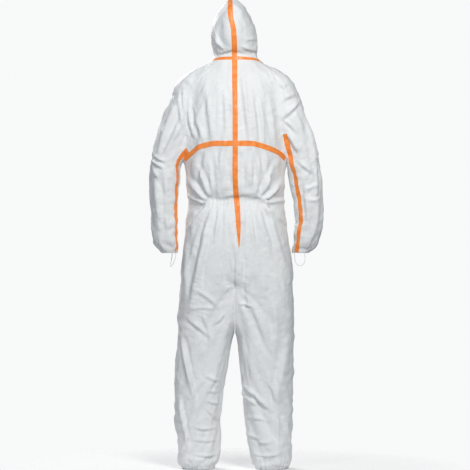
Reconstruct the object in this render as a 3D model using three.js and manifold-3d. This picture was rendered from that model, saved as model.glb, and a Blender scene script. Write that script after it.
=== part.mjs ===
// A hooded chemical protective suit, standing as a wearer fills it. Millimetres, +Z up, the suit
// faces -Y, its left side is +X. The origin is on the floor line between the two trouser hems.
//
// The cloth is lofted as closed tubes (torso, sleeves, legs, hood). The tubes are joined, hollowed
// and cut along the seams and at the bends of the limbs, and every panel is one mesh.
import * as THREE from "three";
import { LoftGeometry } from "three/addons/geometries/LoftGeometry.js";
import { mergeVertices } from "three/addons/utils/BufferGeometryUtils.js";
import Module from "manifold-3d";

const wasm = await Module();
wasm.setup();

// ---------------------------------------------------------------- driving dimensions
const SUIT_HEIGHT = 1755; // hem to the tip of the hood
const GIRTH_EASE = 1; // multiplies every width and depth of the cloth, as a larger cut does
const CLOTH = 2; // wall of a cloth panel
const GAP = 0.4; // between two pieces that are sewn or stuck to each other
const TAPE_WIDTH = 20; // seam tape
const TAPE_THICKNESS = 0.9;
const ELASTIC_THICKNESS = 1.2;
const ELASTIC_WIDTH = 9;

const HOOD_FORWARD = 20; // how far each bend goes, in degrees
const HOOD_BACK = 30;
const ELBOW_BEND = 70;
const HIP_BEND = 45;
const KNEE_BEND = 60;
const BEND_SPARE = 1; // added to a notch's angle, so that its two sides never meet

const FACE_WIDTH = 124; // the hood's face opening
const FACE_HEIGHT = 172;

const ZIP_BOTTOM_Z = 815;
const ZIP_TOP_Z = 1486;
const ZIP_TAPE_WIDTH = 12; // one side
const ZIP_TAPE_THICKNESS = 0.8;
const COIL_WIDTH = 2.7; // one row of coil
const COIL_THICKNESS = 1.7;
const SLIDER_LENGTH = 12;
const SLIDER_WIDTH = 10;
const SLIDER_PLATE = 1.2;
const SLIDER_WEB = 0.7; // the post between the two rows of coil
const PULL_LENGTH = 24;
const PULL_WIDTH = 7;
const PULL_THICKNESS = 1;
const PULL_EYE = 1.9; // outer radius of the pull's eye
const PULL_PIN = 0.8; // radius of the bar that the eye turns on
const PULL_PLAY = 0.4;

const FLAP_THICKNESS = 0.6;
const FLAP_HALF_WIDTH = 33; // storm flap, either side of the zip
const FLAP_LIP = 16; // the flat strip at each edge of a flap
const FLAP_RISE = 9.6; // room under a flap for the slider and its pull
const CHIN_FLAP_HEIGHT = 82;
const CHIN_FLAP_GAP = 0.3; // between its hinge edge and the cloth
const CHIN_FLAP_OPEN = 150; // the chin flap rests this far open, in degrees
const LINER_THICKNESS = 0.5; // release paper on the adhesive strips
const LINER_WIDTH = 12;

const LOOP_DIAMETER = 2.4; // thumb loops, elastic cord

// ---------------------------------------------------------------- the pattern block
// Stations of the cloth from below upwards, drawn for a suit of BLOCK_HEIGHT and graded to
// SUIT_HEIGHT and GIRTH_EASE: the middle (x, y, z), the half-width, the depth before and behind
// the middle, and lean, the angle that a sleeve's section is tilted by.
const BLOCK_HEIGHT = 1755;
const grade = SUIT_HEIGHT / BLOCK_HEIGHT;
const tall = (z) => z * grade;
const degrees = THREE.MathUtils.degToRad;

// The front closure lies on one flat plane that leans back towards the throat.
const ZIP_LINE = { lowY: -146 * GIRTH_EASE, lowZ: 800, highY: -92 * GIRTH_EASE, highZ: 1490 };
const FRONT_CROWN = 6; // how far the cloth would stand before that plane
const zipSlope = (ZIP_LINE.highY - ZIP_LINE.lowY) / tall(ZIP_LINE.highZ - ZIP_LINE.lowZ);
const frontY = (z) => ZIP_LINE.lowY + zipSlope * tall(z - ZIP_LINE.lowZ);

const station = (z, half, front, back, x = 0, y = 0, lean = 0) => ({ z, half, front, back, x, y, lean });
const torsoStation = (z, half, back) => station(z, half, FRONT_CROWN - frontY(z) / GIRTH_EASE, back);

const COLLAR_Z = 1532; // the top of the collar that the hood is sewn to
const TORSO = [
  station(694, 205, 116, 126),
  station(740, 207, 140, 138),
  torsoStation(818, 199, 146),
  torsoStation(900, 190, 147),
  torsoStation(955, 181, 134),
  torsoStation(990, 175, 120),
  torsoStation(1030, 176, 128),
  torsoStation(1080, 183, 140),
  torsoStation(1160, 187, 149),
  torsoStation(1350, 186, 148),
  torsoStation(1410, 182, 138),
  torsoStation(1440, 177, 126),
  torsoStation(1463, 168, 115),
  torsoStation(1480, 152, 105),
  torsoStation(1495, 126, 94),
  torsoStation(1507, 101, 86),
  station(COLLAR_Z, 83, 90, 76),
];
const LEG = [
  station(0, 56, 60, 60, 135),
  station(13, 67, 69, 69, 137),
  station(36, 76, 77, 77, 138),
  station(106, 83, 82, 82, 132),
  station(181, 87.5, 86, 86, 132),
  station(255, 92.5, 90, 90, 127.5),
  station(330, 98, 95, 95, 124),
  station(404, 103, 100, 100, 119),
  station(516, 106, 107, 107, 110),
  station(600, 107, 115, 116, 108.5),
  station(700, 103, 124, 126, 104.5),
  station(770, 97, 124, 124, 101),
];
const SLEEVE = [
  station(802, 37, 36, 36, 251, -32),
  station(812, 43, 45, 45, 254, -31),
  station(835, 49, 56, 56, 259, -28),
  station(880, 52, 58, 58, 261, -20),
  station(970, 55, 61, 61, 263, -6),
  station(1050, 59, 66, 66, 262, 4, -2),
  station(1125, 60, 70, 70, 258, 10, 5),
  station(1200, 60, 74, 74, 241, 12, 17),
  station(1290, 60, 78, 78, 213, 12, 25),
  station(1396, 66, 80, 80, 170, 10, 50),
  station(1425, 48, 66, 66, 108, 8, 72),
];
const HOOD = [
  station(1500, 80, 84, 74),
  station(1534, 78, 89, 74),
  station(1562, 85, 97, 98),
  station(1600, 88, 102, 112),
  station(1642, 83, 99, 118),
  station(1680, 67, 88, 114),
  station(1710, 53, 68, 102),
  station(1732, 35, 40, 82),
  station(1747, 22, 16, 54),
  station(1755, 8, 2, 24, 0, 10),
];

// One section: a superellipse, so that a power above 2 squares it off.
function section(at, grow, side, count, power) {
  const round = (v) => Math.sign(v) * Math.abs(v) ** (2 / power);
  const across = new THREE.Vector3(Math.cos(degrees(at.lean)), 0, side * Math.sin(degrees(at.lean)));
  const middle = new THREE.Vector3(side * at.x * GIRTH_EASE, at.y * GIRTH_EASE, tall(at.z));
  return Array.from({ length: count }, (_, k) => {
    const turn = (2 * Math.PI * k) / count;
    const depth = (Math.sin(turn) < 0 ? at.front : at.back) * GIRTH_EASE + grow;
    const point = middle.clone().addScaledVector(across, (at.half * GIRTH_EASE + grow) * round(Math.cos(turn)));
    point.y += depth * round(Math.sin(turn));
    return point;
  });
}

// ---------------------------------------------------------------- solids
// A closed three.js geometry as a manifold-3d solid, with its shared vertices merged.
function solidOf(geometry) {
  const bare = new THREE.BufferGeometry();
  bare.setAttribute("position", geometry.getAttribute("position"));
  if (geometry.index) bare.setIndex(geometry.index);
  const merged = mergeVertices(bare, 1e-4);
  const corners = merged.index.array;
  const kept = [];
  for (let i = 0; i < corners.length; i += 3) {
    const [a, b, c] = corners.slice(i, i + 3);
    if (a !== b && b !== c && c !== a) kept.push(a, b, c);
  }
  return new wasm.Manifold(
    new wasm.Mesh({
      numProp: 3,
      vertProperties: new Float32Array(merged.attributes.position.array),
      triVerts: new Uint32Array(kept),
    }),
  );
}

function geometryOf(solid) {
  const mesh = solid.getMesh();
  const places = new Float32Array(mesh.numVert * 3);
  for (let i = 0; i < mesh.numVert; i++) {
    places.set(mesh.vertProperties.subarray(i * mesh.numProp, i * mesh.numProp + 3), i * 3);
  }
  const geometry = new THREE.BufferGeometry();
  geometry.setAttribute("position", new THREE.BufferAttribute(places, 3));
  geometry.setIndex(new THREE.BufferAttribute(new Uint32Array(mesh.triVerts), 1));
  geometry.computeVertexNormals();
  return geometry;
}

const join = (solids) => solids.reduce((a, b) => a.add(b));

// A panel without the slivers that a cut leaves beside a seam.
const whole = (solid) => solid.decompose().reduce((a, b) => (a.volume() > b.volume() ? a : b));

// A tube of cloth, filled. grow moves its surface out, or in where it is negative. An end that
// stays open gets a longer plug, so that the hollow runs out through it.
function tube(stations, { grow = 0, side = 1, count, power, openStart = false, openEnd = false }) {
  const sections = stations.map((at) => section(at, grow, side, count, power));
  const reach = CLOTH * 2;
  const lift = (points, by) => points.map((p) => p.clone().add(new THREE.Vector3(0, 0, by)));
  const inwards = grow < 0;
  sections[0] = lift(sections[0], openStart && inwards ? -reach : -grow);
  const last = sections.length - 1;
  sections[last] = lift(sections[last], openEnd && inwards ? reach : grow);
  return solidOf(new LoftGeometry(sections, { capStart: true, capEnd: true }));
}

const SIDES = { left: 1, right: -1 };
const torsoTube = (grow) => tube(TORSO, { grow, count: 28, power: 2.4 });
const legTube = (grow, side) => tube(LEG, { grow, side, count: 16, power: 2.3, openStart: true });
const sleeveTube = (grow, side) => tube(SLEEVE, { grow, side, count: 14, power: 2.1, openStart: true });
const hoodTube = (grow) => tube(HOOD, { grow, count: 20, power: 2.1 });
const box = (low, high) => {
  const size = high.map((v, i) => v - low[i]);
  const middle = high.map((v, i) => (v + low[i]) / 2);
  return solidOf(new THREE.BoxGeometry(...size).translate(...middle));
};

// Everything on the side of a plane that its normal points to.
const FAR = 3 * SUIT_HEIGHT;
function halfSpace(point, normal, offset = 0) {
  const turn = new THREE.Quaternion().setFromUnitVectors(new THREE.Vector3(0, 0, 1), normal);
  const block = new THREE.BoxGeometry(FAR, FAR, FAR).translate(0, 0, FAR / 2 + offset);
  return solidOf(block.applyQuaternion(turn).translate(point.x, point.y, point.z));
}

// A bend of a limb: a notch with its point at the pivot, open to the flex side, so that what lies
// beyond it can turn towards that side. Returns what lies beyond the notch and the notch itself.
// offset is positive to keep clear of the cut, and negative to cut a little more away.
function bend({ pivot, flex, beyond, angle }) {
  const half = degrees((angle + BEND_SPARE) / 2);
  const slope = (a, b) => beyond.clone().multiplyScalar(a).addScaledVector(flex, b).normalize();
  const near = slope(-Math.cos(half), Math.sin(half));
  const far = slope(Math.cos(half), Math.sin(half));
  const away = slope(Math.cos(half), -Math.sin(half));
  return {
    beyond: (offset) => halfSpace(pivot, beyond, offset).intersect(halfSpace(pivot, away, offset)),
    notch: (offset) => halfSpace(pivot, near, offset).intersect(halfSpace(pivot, far, offset)),
  };
}

const X = new THREE.Vector3(1, 0, 0);
const Y = new THREE.Vector3(0, 1, 0);
const Z = new THREE.Vector3(0, 0, 1);
const turned = (v, sign = -1) => v.clone().multiplyScalar(sign);

// ---------------------------------------------------------------- pivots
const ARMHOLE_X = 190; // the sleeve is sewn to the body on this plane
const ELBOW = { x: 258, y: 12, z: 1115 };
const HIP = { x: 105, y: 8, z: 740 };
const KNEE = { x: 116, y: -12, z: 430 };
const place = (p, side = 1) => new THREE.Vector3(side * p.x * GIRTH_EASE, p.y * GIRTH_EASE, tall(p.z));

// The neck seam lies on a plane that rises towards the back.
const NECK_FRONT = new THREE.Vector3(0, -90 * GIRTH_EASE, tall(1490));
const NECK_BACK = new THREE.Vector3(0, 76 * GIRTH_EASE, tall(1526));
const neckMiddle = NECK_FRONT.clone().lerp(NECK_BACK, 0.5);
const neckForward = NECK_FRONT.clone().sub(NECK_BACK).normalize();
const neckUp = neckForward.clone().cross(X).normalize();
const NECK_BAND = 4; // height of the neck gather at the sides
const hoodPivot = neckMiddle.clone().addScaledVector(neckUp, NECK_BAND);

// ---------------------------------------------------------------- the whole cloth
const zipNormal = new THREE.Vector3(0, -Math.cos(Math.atan(zipSlope)), Math.sin(Math.atan(zipSlope)));
const zipPoint = new THREE.Vector3(0, ZIP_LINE.lowY, tall(ZIP_LINE.lowZ));
const overBody = (grow) => {
  const behindZip = halfSpace(zipPoint, turned(zipNormal), -grow);
  const torso = torsoTube(grow).intersect(behindZip);
  return join([torso, ...Object.values(SIDES).map((side) => sleeveTube(grow, side))]);
};
const wholeSuit = (grow) =>
  join([overBody(grow), hoodTube(grow), ...Object.values(SIDES).map((side) => legTube(grow, side))]);

function faceHole(grow) {
  const outline = new THREE.Shape();
  outline.absellipse(0, 0, FACE_WIDTH / 2 + grow, FACE_HEIGHT / 2 + grow, 0, 2 * Math.PI);
  const middleZ = tall(1632);
  const rod = new THREE.ExtrudeGeometry(outline, { depth: 200, bevelEnabled: false, curveSegments: 10 });
  return solidOf(rod.rotateX(Math.PI / 2).translate(0, -10, middleZ));
}

const cloth = wholeSuit(0).subtract(wholeSuit(-CLOTH)).subtract(faceHole(0));

// ---------------------------------------------------------------- cutting the cloth into panels
const SPLIT = GAP / 2;
const onSide = (side) => halfSpace(new THREE.Vector3(), turned(X, side), SPLIT);
const behind = halfSpace(new THREE.Vector3(), Y, SPLIT);
const before = halfSpace(new THREE.Vector3(), turned(Y), SPLIT);
const aboveNeck = halfSpace(neckMiddle, neckUp, SPLIT);
const belowNeck = halfSpace(neckMiddle, turned(neckUp), SPLIT);

// The yoke seam runs level across the back and drops towards the armpits.
const YOKE_Z = 1212;
const YOKE_DROP = 46;
const YOKE_REACH = 188; // from the centre back to the armpit
const yokeZ = (x) => tall(YOKE_Z - YOKE_DROP * Math.min(1.1, Math.abs(x) / (YOKE_REACH * GIRTH_EASE)) ** 3.5);
const outlineXZ = (points) => {
  const geometry = new THREE.ExtrudeGeometry(
    new THREE.Shape(points.map(([x, z]) => new THREE.Vector2(x, z))),
    { depth: 400 * GIRTH_EASE, bevelEnabled: false },
  );
  return solidOf(geometry.rotateX(Math.PI / 2).translate(0, 400 * GIRTH_EASE, 0));
};
const yokeSteps = Array.from({ length: 11 }, (_, k) => (k - 5) * 42 * GIRTH_EASE);
const yokeBand = (under, over, from = -Infinity, to = Infinity) => {
  const xs = [from, ...yokeSteps.filter((x) => x > from && x < to), to].filter(Number.isFinite);
  return outlineXZ([...xs.map((x) => [x, yokeZ(x) + under]), ...xs.reverse().map((x) => [x, yokeZ(x) + over])]);
};
const aboveYoke = yokeBand(SPLIT, 500);
const belowYoke = yokeBand(-700, -SPLIT);

const hoodAway = (lead, angle) => {
  const tilt = degrees(angle + BEND_SPARE);
  return neckUp.clone().multiplyScalar(Math.cos(tilt)).addScaledVector(lead, -Math.sin(tilt)).normalize();
};
const hoodZone = (offset) =>
  halfSpace(hoodPivot, hoodAway(neckForward, HOOD_FORWARD), offset).intersect(
    halfSpace(hoodPivot, hoodAway(turned(neckForward), HOOD_BACK), offset),
  );

const panels = new Map();
const arms = {};
const legs = {};
for (const [name, side] of Object.entries(SIDES)) {
  const around = sleeveTube(6, side);
  const armhole = (offset) => halfSpace(place({ x: ARMHOLE_X, y: 0, z: 0 }, side), turned(X, side), offset);
  const elbow = bend({ pivot: place(ELBOW, side), flex: turned(Y), beyond: turned(Z), angle: ELBOW_BEND });
  const hip = bend({ pivot: place(HIP, side), flex: turned(Y), beyond: turned(Z), angle: HIP_BEND });
  const knee = bend({ pivot: place(KNEE, side), flex: Y, beyond: turned(Z), angle: KNEE_BEND });
  arms[name] = { around, armhole, elbow };
  legs[name] = { hip, knee };

  const arm = cloth.intersect(around).intersect(armhole(SPLIT));
  panels.set(`upper_sleeve_${name}`, arm.subtract(elbow.beyond(-SPLIT)).subtract(elbow.notch(-SPLIT)));
  panels.set(`elbow_gather_${name}`, arm.intersect(elbow.notch(SPLIT)));
  panels.set(`lower_sleeve_${name}`, arm.intersect(elbow.beyond(SPLIT)));

  const half = cloth.subtract(around.intersect(armhole(-SPLIT))).intersect(onSide(side));
  const leg = half.intersect(hip.beyond(SPLIT));
  panels.set(`hip_gather_${name}`, half.intersect(hip.notch(SPLIT)));
  panels.set(`upper_leg_${name}`, leg.subtract(knee.beyond(-SPLIT)).subtract(knee.notch(-SPLIT)));
  panels.set(`knee_gather_${name}`, leg.intersect(knee.notch(SPLIT)));
  panels.set(`lower_leg_${name}`, leg.intersect(knee.beyond(SPLIT)));
}
const hoodPiece = cloth.intersect(hoodZone(SPLIT));
panels.set("hood_neck_gather", cloth.intersect(aboveNeck).subtract(hoodZone(-SPLIT)));
for (const [name, side] of Object.entries(SIDES)) {
  panels.set(`hood_${name}`, hoodPiece.intersect(onSide(side)));
}

// The torso is what the limbs and the hood leave. The zip's slot opens its two fronts.
const limbs = Object.keys(SIDES).map((name) => arms[name].around.intersect(arms[name].armhole(-SPLIT)));
const hips = [legs.left.hip.beyond(-SPLIT), legs.left.hip.notch(-SPLIT)];
const zipSlotHalf = ZIP_TAPE_WIDTH + SLIDER_WEB / 2 + GAP * 2;
const zipSlot = box(
  [-zipSlotHalf, -400 * GIRTH_EASE, tall(ZIP_BOTTOM_Z) - GAP],
  [zipSlotHalf, 0, tall(ZIP_TOP_Z) + 60],
);
const torso = [...limbs, ...hips, zipSlot].reduce((a, b) => a.subtract(b), cloth).intersect(belowNeck);
for (const [name, side] of Object.entries(SIDES)) {
  const half = torso.intersect(onSide(side));
  panels.set(`front_${name}`, half.intersect(before));
  panels.set(`back_yoke_${name}`, half.intersect(behind).intersect(aboveYoke));
  panels.set(`back_lower_${name}`, half.intersect(behind).intersect(belowYoke));
}

// ---------------------------------------------------------------- seam tapes, on the outside
const tapeSkin = (shape) => shape(GAP + TAPE_THICKNESS).subtract(shape(GAP));
const bodySkin = tapeSkin(overBody);
const hoodSkin = tapeSkin(hoodTube);
const halfTape = TAPE_WIDTH / 2;
const tapes = new Map();

const TAPE_LOW_Z = 842; // where the centre back tape goes under the fold of the seat
tapes.set(
  "centre_back_tape",
  bodySkin
    .intersect(box([-halfTape, 0, tall(TAPE_LOW_Z)], [halfTape, 400, tall(1600)]))
    .intersect(halfSpace(neckMiddle, turned(neckUp), GAP)),
);
const faceTopZ = tall(1632) + FACE_HEIGHT / 2;
const hoodTape = hoodSkin
  .intersect(box([-halfTape, -400, tall(1500)], [halfTape, 400, tall(1800)]))
  .subtract(box([-50, -400, tall(1400)], [50, -20, faceTopZ + GAP]));
tapes.set("hood_tape", hoodTape.intersect(hoodZone(GAP)));
tapes.set("hood_tape_lower", hoodTape.subtract(hoodZone(0)).intersect(box([-50, 0, tall(COLLAR_Z) + GAP], [50, 400, FAR])));

// The tape of the under-sleeve seam follows the inner edge of the sleeve, on its back.
const SLEEVE_TAPE = [
  [193, 1196],
  [200, 1155],
  [210, 1095],
  [219, 1020],
  [224, 940],
  [225, 870],
  [229, 830],
  [235, 804],
];
const sleeveBand = (side) => {
  const line = SLEEVE_TAPE.map(([x, z]) => [side * x * GIRTH_EASE, tall(z)]);
  const edge = (by) => line.map(([x, z]) => [x + by, z]);
  return outlineXZ([...edge(-halfTape * 0.8), ...edge(halfTape * 0.8).reverse()]);
};
for (const [name, side] of Object.entries(SIDES)) {
  const { around, armhole, elbow } = arms[name];
  const inner = halfTape + GAP;
  const reach = (YOKE_REACH - 2) * GIRTH_EASE;
  const across = side > 0 ? [inner, reach] : [-reach, -inner];
  tapes.set(`yoke_tape_${name}`, bodySkin.intersect(yokeBand(-halfTape, halfTape, ...across)).intersect(behind));

  const behindArm = halfSpace(new THREE.Vector3(0, 16 * GIRTH_EASE, 0), Y);
  const seam = bodySkin
    .intersect(sleeveBand(side))
    .intersect(around)
    .intersect(armhole(GAP))
    .subtract(halfSpace(new THREE.Vector3(), turned(Y)));
  tapes.set(
    `sleeve_tape_upper_${name}`,
    seam.intersect(behindArm).subtract(elbow.beyond(-SPLIT)).subtract(elbow.notch(-SPLIT)),
  );
  tapes.set(`sleeve_tape_lower_${name}`, seam.intersect(elbow.beyond(SPLIT)));

  const NECK_TAPE_WIDTH = 15;
  const neckSlab = halfSpace(neckMiddle, turned(neckUp), GAP).subtract(
    halfSpace(neckMiddle, turned(neckUp), GAP + NECK_TAPE_WIDTH),
  );
  const clearOf = [
    box([-inner, 0, 0], [inner, 400, FAR]),
    box([-FLAP_HALF_WIDTH - 8, -400, 0], [FLAP_HALF_WIDTH + 8, 0, FAR]),
  ];
  tapes.set(
    `neck_tape_${name}`,
    bodySkin.intersect(neckSlab).intersect(onSide(side)).subtract(clearOf[0]).subtract(clearOf[1]),
  );
}

// ---------------------------------------------------------------- elastics, on the inside
const lining = (shape, thickness) => shape(-CLOTH - GAP).subtract(shape(-CLOTH - GAP - thickness));
const level = (low, high) => box([-FAR, -FAR, low], [FAR, FAR, high]);
const HEM_INSET = 3; // an elastic lies this far inside the edge it gathers
const elastics = new Map();
for (const [name, side] of Object.entries(SIDES)) {
  const cuffZ = tall(SLEEVE[0].z) + HEM_INSET;
  elastics.set(
    `cuff_elastic_${name}`,
    lining((grow) => sleeveTube(grow, side), ELASTIC_THICKNESS).intersect(level(cuffZ, cuffZ + ELASTIC_WIDTH)),
  );
  elastics.set(
    `ankle_elastic_${name}`,
    lining((grow) => legTube(grow, side), ELASTIC_THICKNESS).intersect(level(HEM_INSET, HEM_INSET + ELASTIC_WIDTH)),
  );
}
const WAIST_Z = 990;
elastics.set(
  "waist_elastic",
  lining(torsoTube, ELASTIC_THICKNESS)
    .intersect(level(tall(WAIST_Z) - ELASTIC_WIDTH / 2, tall(WAIST_Z) + ELASTIC_WIDTH / 2))
    .intersect(halfSpace(new THREE.Vector3(0, 20, 0), Y)),
);
elastics.set(
  "face_elastic",
  lining(hoodTube, ELASTIC_THICKNESS)
    .intersect(faceHole(ELASTIC_WIDTH))
    .subtract(faceHole(1)),
);
const LABEL = { width: 44, height: 26, thickness: 0.5, below: 18 };
const sizeLabel = lining(torsoTube, LABEL.thickness)
  .intersect(box([-LABEL.width / 2, 0, 0], [LABEL.width / 2, 400, FAR]))
  .intersect(level(NECK_BACK.z - LABEL.below - LABEL.height, NECK_BACK.z - LABEL.below));

// ---------------------------------------------------------------- materials
const finish = (color, roughness, metalness = 0) =>
  new THREE.MeshStandardMaterial({ color, roughness, metalness, side: THREE.DoubleSide });
const FINISH = {
  cloth: finish(0xeef0f1, 0.7),
  tape: finish(0xf58220, 0.45),
  elastic: finish(0xe6e7e8, 0.85),
  zip: finish(0xf2f2f2, 0.5),
  slider: finish(0xf4f4f4, 0.35),
  liner: finish(0xfafaf5, 0.3),
};

const suit = new THREE.Group();
function addSolid(name, solid, material) {
  const mesh = new THREE.Mesh(geometryOf(whole(solid)), material);
  mesh.name = name;
  suit.add(mesh);
}
for (const [name, solid] of panels) addSolid(name, solid, FINISH.cloth);
for (const [name, solid] of tapes) addSolid(name, solid, FINISH.tape);
for (const [name, solid] of elastics) addSolid(name, solid, FINISH.elastic);
addSolid("size_label", sizeLabel, FINISH.liner);

// ---------------------------------------------------------------- the front closure
// Its own frame: the origin at the foot of the zip on the front plane, +Z up along the zip,
// -Y straight out of the cloth.
const closure = new THREE.Group();
const zipFootY = ZIP_LINE.lowY + zipSlope * (tall(ZIP_BOTTOM_Z) - tall(ZIP_LINE.lowZ));
closure.position.set(0, zipFootY, tall(ZIP_BOTTOM_Z));
closure.rotation.x = -Math.atan(zipSlope);
suit.add(closure);
const zipLength = tall(ZIP_TOP_Z - ZIP_BOTTOM_Z) / Math.cos(Math.atan(zipSlope));

function addPart(name, geometry, material, parent = closure) {
  const mesh = new THREE.Mesh(geometry, material);
  mesh.name = name;
  parent.add(mesh);
  return mesh;
}

const webHalf = SLIDER_WEB / 2;
const STOP_HEIGHT = 4;
for (const [name, side] of Object.entries(SIDES)) {
  const tapeMiddle = webHalf + GAP + ZIP_TAPE_WIDTH / 2;
  const tape = addPart(
    `zip_tape_${name}`,
    new THREE.BoxGeometry(ZIP_TAPE_WIDTH, ZIP_TAPE_THICKNESS, zipLength),
    FINISH.zip,
  );
  tape.position.set(side * tapeMiddle, GAP + ZIP_TAPE_THICKNESS / 2, zipLength / 2);
  const coil = addPart(
    `zip_coil_${name}`,
    new THREE.BoxGeometry(COIL_WIDTH, COIL_THICKNESS, zipLength - 2 * (STOP_HEIGHT + GAP)),
    FINISH.zip,
  );
  const coilX = side * (webHalf + GAP + COIL_WIDTH / 2);
  coil.position.set(coilX, -COIL_THICKNESS / 2, zipLength / 2);
  const topStop = addPart(
    `zip_top_stop_${name}`,
    new THREE.BoxGeometry(COIL_WIDTH, COIL_THICKNESS, STOP_HEIGHT),
    FINISH.slider,
  );
  topStop.position.set(coilX, -COIL_THICKNESS / 2, zipLength - STOP_HEIGHT / 2);
}
const bottomStop = addPart(
  "zip_bottom_stop",
  new THREE.BoxGeometry(2 * (COIL_WIDTH + GAP), COIL_THICKNESS, STOP_HEIGHT),
  FINISH.slider,
);
bottomStop.position.set(0, -COIL_THICKNESS / 2, STOP_HEIGHT / 2);

// The slider straddles both rows of coil: two plates and the web between them, with a bail.
const BAIL_SPREAD = 4.6; // inside width of the bail that holds the pull
const BAIL_POST = 1.4;
const plateY = COIL_THICKNESS + GAP; // the front plate's inner face, before the tape's plane
const backY = GAP + ZIP_TAPE_THICKNESS + GAP;
const bailY = plateY + SLIDER_PLATE + PULL_EYE + GAP; // the pin's distance before that plane
function sliderGeometry() {
  const front = box([-SLIDER_WIDTH / 2, -plateY - SLIDER_PLATE, 0], [SLIDER_WIDTH / 2, -plateY, SLIDER_LENGTH]);
  const back = box([-SLIDER_WIDTH / 2, backY, 0], [SLIDER_WIDTH / 2, backY + SLIDER_PLATE, SLIDER_LENGTH]);
  const web = box([-webHalf, -plateY - SLIDER_PLATE / 2, 0], [webHalf, backY + SLIDER_PLATE / 2, SLIDER_LENGTH]);
  const posts = Object.values(SIDES).map((side) => {
    const inner = (side * BAIL_SPREAD) / 2;
    const xs = [inner, inner + side * BAIL_POST].sort((a, b) => a - b);
    return box(
      [xs[0], -bailY - PULL_PIN, SLIDER_LENGTH / 2 - PULL_PIN],
      [xs[1], -plateY - SLIDER_PLATE / 2, SLIDER_LENGTH / 2 + PULL_PIN],
    );
  });
  const pin = new THREE.CylinderGeometry(PULL_PIN, PULL_PIN, BAIL_SPREAD + BAIL_POST, 12);
  const bar = solidOf(pin.rotateZ(Math.PI / 2).translate(0, -bailY, SLIDER_LENGTH / 2));
  return geometryOf(join([front, back, web, ...posts, bar]));
}
const SLIDER_REST = zipLength - SLIDER_LENGTH - 8; // the slider's foot, closed up at the throat
const slider = addPart("zip_slider", sliderGeometry(), FINISH.slider);
slider.position.set(0, 0, SLIDER_REST);

// The pull hangs from the bail's pin: an eye and a tongue that widens below it.
function pullGeometry() {
  const eye = new THREE.Shape();
  eye.absarc(0, 0, PULL_EYE, 0, 2 * Math.PI);
  const hole = new THREE.Path();
  hole.absarc(0, 0, PULL_PIN + PULL_PLAY, 0, 2 * Math.PI, true);
  eye.holes.push(hole);
  const eyeWidth = BAIL_SPREAD - 2 * PULL_PLAY;
  const ring = new THREE.ExtrudeGeometry(eye, { depth: eyeWidth, bevelEnabled: false, curveSegments: 10 });
  const eyeSolid = solidOf(ring.translate(0, 0, -eyeWidth / 2).rotateY(Math.PI / 2));
  const neckEnd = PULL_EYE + 3.2;
  const neck = box([-eyeWidth / 2, -PULL_THICKNESS / 2, -neckEnd - 1], [eyeWidth / 2, PULL_THICKNESS / 2, -PULL_EYE + 0.4]);
  const tongue = box([-PULL_WIDTH / 2, -PULL_THICKNESS / 2, -PULL_LENGTH], [PULL_WIDTH / 2, PULL_THICKNESS / 2, -neckEnd]);
  return geometryOf(join([eyeSolid, neck, tongue]));
}
const pull = addPart("zip_pull", pullGeometry(), FINISH.slider);
pull.position.set(0, -bailY, SLIDER_REST + SLIDER_LENGTH / 2);

// A flap's section: a lip sewn down, a hump over the zip, and a lip that sticks down.
function flapShape(halfWidth, lip) {
  const shoulder = 5; // the slope between a lip and the hump, across
  const top = FLAP_RISE + FLAP_THICKNESS;
  const out = [
    [-halfWidth, 0],
    [-halfWidth + lip, 0],
    [-halfWidth + lip + shoulder, FLAP_RISE],
    [halfWidth - lip - shoulder, FLAP_RISE],
    [halfWidth - lip, 0],
    [halfWidth, 0],
    [halfWidth, FLAP_THICKNESS],
    [halfWidth - lip + 0.6, FLAP_THICKNESS],
    [halfWidth - lip - shoulder + 0.6, top],
    [-halfWidth + lip + shoulder - 0.6, top],
    [-halfWidth + lip - 0.6, FLAP_THICKNESS],
    [-halfWidth, FLAP_THICKNESS],
  ];
  return new THREE.Shape(out.map(([x, y]) => new THREE.Vector2(x, y)));
}
const extrudeUp = (shape, length) =>
  new THREE.ExtrudeGeometry(shape, { depth: length, bevelEnabled: false }).scale(1, -1, 1);
// Turning the section over reverses its faces, so each triangle is wound the other way.
function rewound(geometry) {
  const places = geometry.getAttribute("position");
  for (let i = 0; i < places.count; i += 3) {
    const [x, y, z] = [places.getX(i), places.getY(i), places.getZ(i)];
    places.setXYZ(i, places.getX(i + 1), places.getY(i + 1), places.getZ(i + 1));
    places.setXYZ(i + 1, x, y, z);
  }
  return geometry;
}

const stormLength = zipLength - CHIN_FLAP_HEIGHT - 12;
const storm = new THREE.Group();
storm.position.set(-FLAP_HALF_WIDTH, -GAP, 0);
closure.add(storm);
const stormFlap = rewound(extrudeUp(flapShape(FLAP_HALF_WIDTH, FLAP_LIP), stormLength));
addPart("storm_flap", stormFlap.translate(FLAP_HALF_WIDTH, 0, 0), FINISH.cloth, storm);
const stormLiner = addPart(
  "storm_flap_liner",
  new THREE.BoxGeometry(LINER_WIDTH, LINER_THICKNESS, stormLength - 10),
  FINISH.liner,
  storm,
);
stormLiner.position.set(
  2 * FLAP_HALF_WIDTH - LINER_WIDTH / 2 - 1,
  -FLAP_THICKNESS - GAP - LINER_THICKNESS / 2,
  stormLength / 2,
);

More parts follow.
